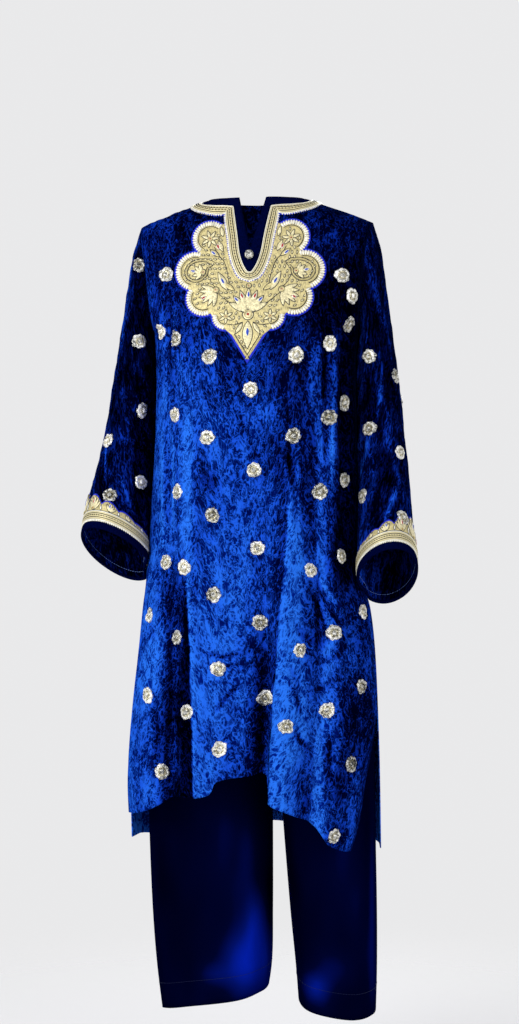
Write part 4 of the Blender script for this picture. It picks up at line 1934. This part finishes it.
# %% Places of the rosettes on the panels
FRONT_PLACES = [
    (142, -122), (157, -153), (151, -196), (123, -227), (74, -247), (-59, -248), (-132, -117), (-142, -203),
    (-117, -218), (5, -299), (-116, -336), (-62, -372), (123, -341), (143, -317), (70, -370), (10, -422), (-111, -455),
    (-54, -491), (143, -436), (109, -455), (16, -541), (95, -575), (140, -554), (-130, -564), (-98, -571), (-51, -612),
    (172, -641), (20, -654), (-110, -679), (-159, -647), (81, -695), (132, -670), (-43, -724), (-160, -770),
    (170, -755), (-92, -791), (27, -769), (63, -809), (121, -788), (-39, -845), (-134, -886), (156, -872), (133, -978),
]
BACK_COLUMNS, BACK_PITCH = (-168, -101, -34, 34, 101, 168), 120


def back_places():
    """A half-drop pattern, each place a little off it."""
    near = np.random.default_rng(4).uniform(-8, 8, (6, 12, 2))
    return [
        (x + near[i, j, 0], z + near[i, j, 1])
        for i, x in enumerate(BACK_COLUMNS) for j, z in enumerate(range(-70 - (i % 2) * 60, -1100, -BACK_PITCH))
    ]


def facing_at(carry, places, unit=(1, 1)):
    """The cloth's mean outward direction under a rosette. The unit is a millimetre as the carrier counts."""
    around = [(0, 0)] + [(9 * math.cos(a) * unit[0], 9 * math.sin(a) * unit[1]) for a in np.radians(range(0, 360, 45))]
    total = sum(carry([(x + dx, z + dz) for x, z in places])[1] for dx, dz in around)
    return total / np.linalg.norm(total, axis=1, keepdims=True)


def inside_panel(front, places, margin):
    """Keeps the places whose whole rosette lies on the panel."""
    around = ((0, 0), (margin, 0), (-margin, 0), (0, margin), (0, -margin))
    return [(x, z) for x, z in places if all(cast(front, x + dx, z + dz)[0] is not None for dx, dz in around)]


for front_side, word in PANELS:
    wished, margin, seed = (FRONT_PLACES, 8, 7) if front_side else (back_places(), 19, 8)
    kept, carry = inside_panel(front_side, wished, margin), on_body(front_side)
    make_rosettes("rosettes_" + word, carry(kept)[0], facing_at(carry, kept), bpy.data.objects["tunic_" + word], seed)
    print(word, len(kept), "rosettes of", len(wished))

# %% Rosettes of the sleeves: share round from the outside by the front, share down
SLEEVE_ROSETTES = {
    "right": [(0.185, 0.053), (0.3, 0.275), (0.345, 0.535), (0.38, 0.77), (0.148, 0.69), (0.235, 0.885)],
    "left": [(0.287, 0.355), (0.08, 0.485), (0.32, 0.598), (0.12, 0.704), (0.395, 0.787), (0.14, 0.91)],
}
SLEEVE_BACK = [
    (0.9, 0.1), (0.72, 0.14), (0.62, 0.32), (0.84, 0.34), (0.73, 0.5), (0.93, 0.54), (0.6, 0.66), (0.84, 0.7),
    (0.7, 0.84),
]
for name, side in ARMS:
    carry, wished = on_sleeve(name, side), SLEEVE_ROSETTES[name] + SLEEVE_BACK
    facing = facing_at(carry, wished, (1 / SLEEVE_ROUND, 1 / SLEEVE_LENGTH))
    make_rosettes(
        "rosettes_sleeve_" + name, carry(wished)[0], facing, bpy.data.objects["sleeve_cloth_" + name], 9 + side,
    )
bpy.data.objects.remove(ROSETTE)

# %% [markdown]
# ## Button, waistband and stitches
#
# The slit ends in one small ball button of ribbed silver. The trousers gather into an elastic
# waistband under the tunic. Lines of stitches turn up the trouser hems and hold the inside of the
# cuffs.

# %% Button
BUTTON_RINGS, BUTTON_COLUMNS, BUTTON_RIBS = 25, 48, 12
low, high = [np.array(corner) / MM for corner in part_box("slit_button")]
polar = np.linspace(0.001, np.pi - 0.001, BUTTON_RINGS)[:, None]
turn = circle(BUTTON_COLUMNS)[None, :]
ribs = 0.045 * np.sin(polar) ** 2 * (1 + np.cos(BUTTON_RIBS * turn)) / 2
ribbed = (high - low).min() / 2 * (1 - ribs - 0.03 * (1 + np.cos(10 * polar)) / 2)
ball = np.stack([np.sin(polar) * np.cos(turn), -np.cos(polar) + 0 * turn, np.sin(polar) * np.sin(turn)], -1)
ball = (ball * ribbed[..., None]).reshape(-1, 3)
faces = grid_faces(BUTTON_RINGS, BUTTON_COLUMNS, True)[:, ::-1]
button = make_object("ball_button", ball + (low + high) / 2, faces, ball[:, [0, 2]] * MM)
keep_values(button, "warm", np.zeros(len(ball)))
finish_piece(button, ROSETTE_METAL, "silver", "slit_button")

# %% Waistband
GATHERS, CHANNELS, BAND_ROWS, BAND_COLUMNS = 64, 3, 13, 320
low, high = [np.array(corner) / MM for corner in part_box("waistband")]
ring = np.linspace(-np.pi, np.pi, BAND_COLUMNS, endpoint=False)
centre = along(LEG_FORMS[1], "inner", WAIST_Z)
outer_x = np.where(np.cos(ring) > 0, high[0] - centre, centre - low[0]) * np.cos(ring)
outer_y = high[1] * np.sign(np.sin(ring)) * np.abs(np.sin(ring)) ** 0.85
rows = np.linspace(0, 1, BAND_ROWS)[:, None]
channels = np.abs(np.sin(CHANNELS * np.pi * rows)) ** 0.5
wave = np.cos(GATHERS * ring + 1.5 * np.sin(5 * ring))[None, :]
size = 1 + (channels * (0.7 + 0.9 * wave) - 1.6) / np.hypot(outer_x, outer_y)
height = mix(high[2], low[2], rows) + 0 * wave
band_grid = np.stack([centre + outer_x * size, outer_y * size, height], -1)
waistband = make_cloth("waistband_cloth", band_grid, closed=True)
solidify(waistband, 1.6)
finish_piece(waistband, SATIN, "satin", "waistband")

# %% Stitches
THREAD_RADIUS, HEM_TURN = 0.3, 40
PALE_THREAD = plain_thread("pale_blue_thread", (0.12, 0.2, 0.5), 0.5)
NAVY_THREAD = plain_thread("navy_thread", (0.001, 0.003, 0.04), 0.6)


def stitch_line(line, pitch=4.2, share=0.68):
    line = resample(line, pitch)
    return [np.stack([a, mix(a, b, share)]) for a, b in zip(line[:-1], line[1:])]


for name, side in ARMS:
    carry, around = on_cuff(name, side)
    ring = np.stack([np.linspace(0, around, 120), np.full(120, 13.0)], 1)
    inside = carried_line(carry, ring, -VELVET_THICKNESS - 0.15)
    make_cords("cuff_stitching_" + name, stitch_line(inside), THREAD_RADIUS, PALE_THREAD, "binding")
hems = []
for grid in legs:
    up = np.cumsum(np.linalg.norm(np.diff(grid[::-1], axis=0), axis=-1), 0)
    row = len(grid) - 1 - np.array([np.interp(HEM_TURN, column, np.arange(1, len(grid))) for column in up.T])
    column, above = np.arange(grid.shape[1]), np.floor(row).astype(int)
    line = mix(grid[above, column], grid[above + 1, column], (row - above)[:, None])
    hems += stitch_line((line + grid_normals(grid)[above, column] * 0.25)[1:-1])
make_cords("trouser_hem_stitching", hems, THREAD_RADIUS, NAVY_THREAD, "satin")
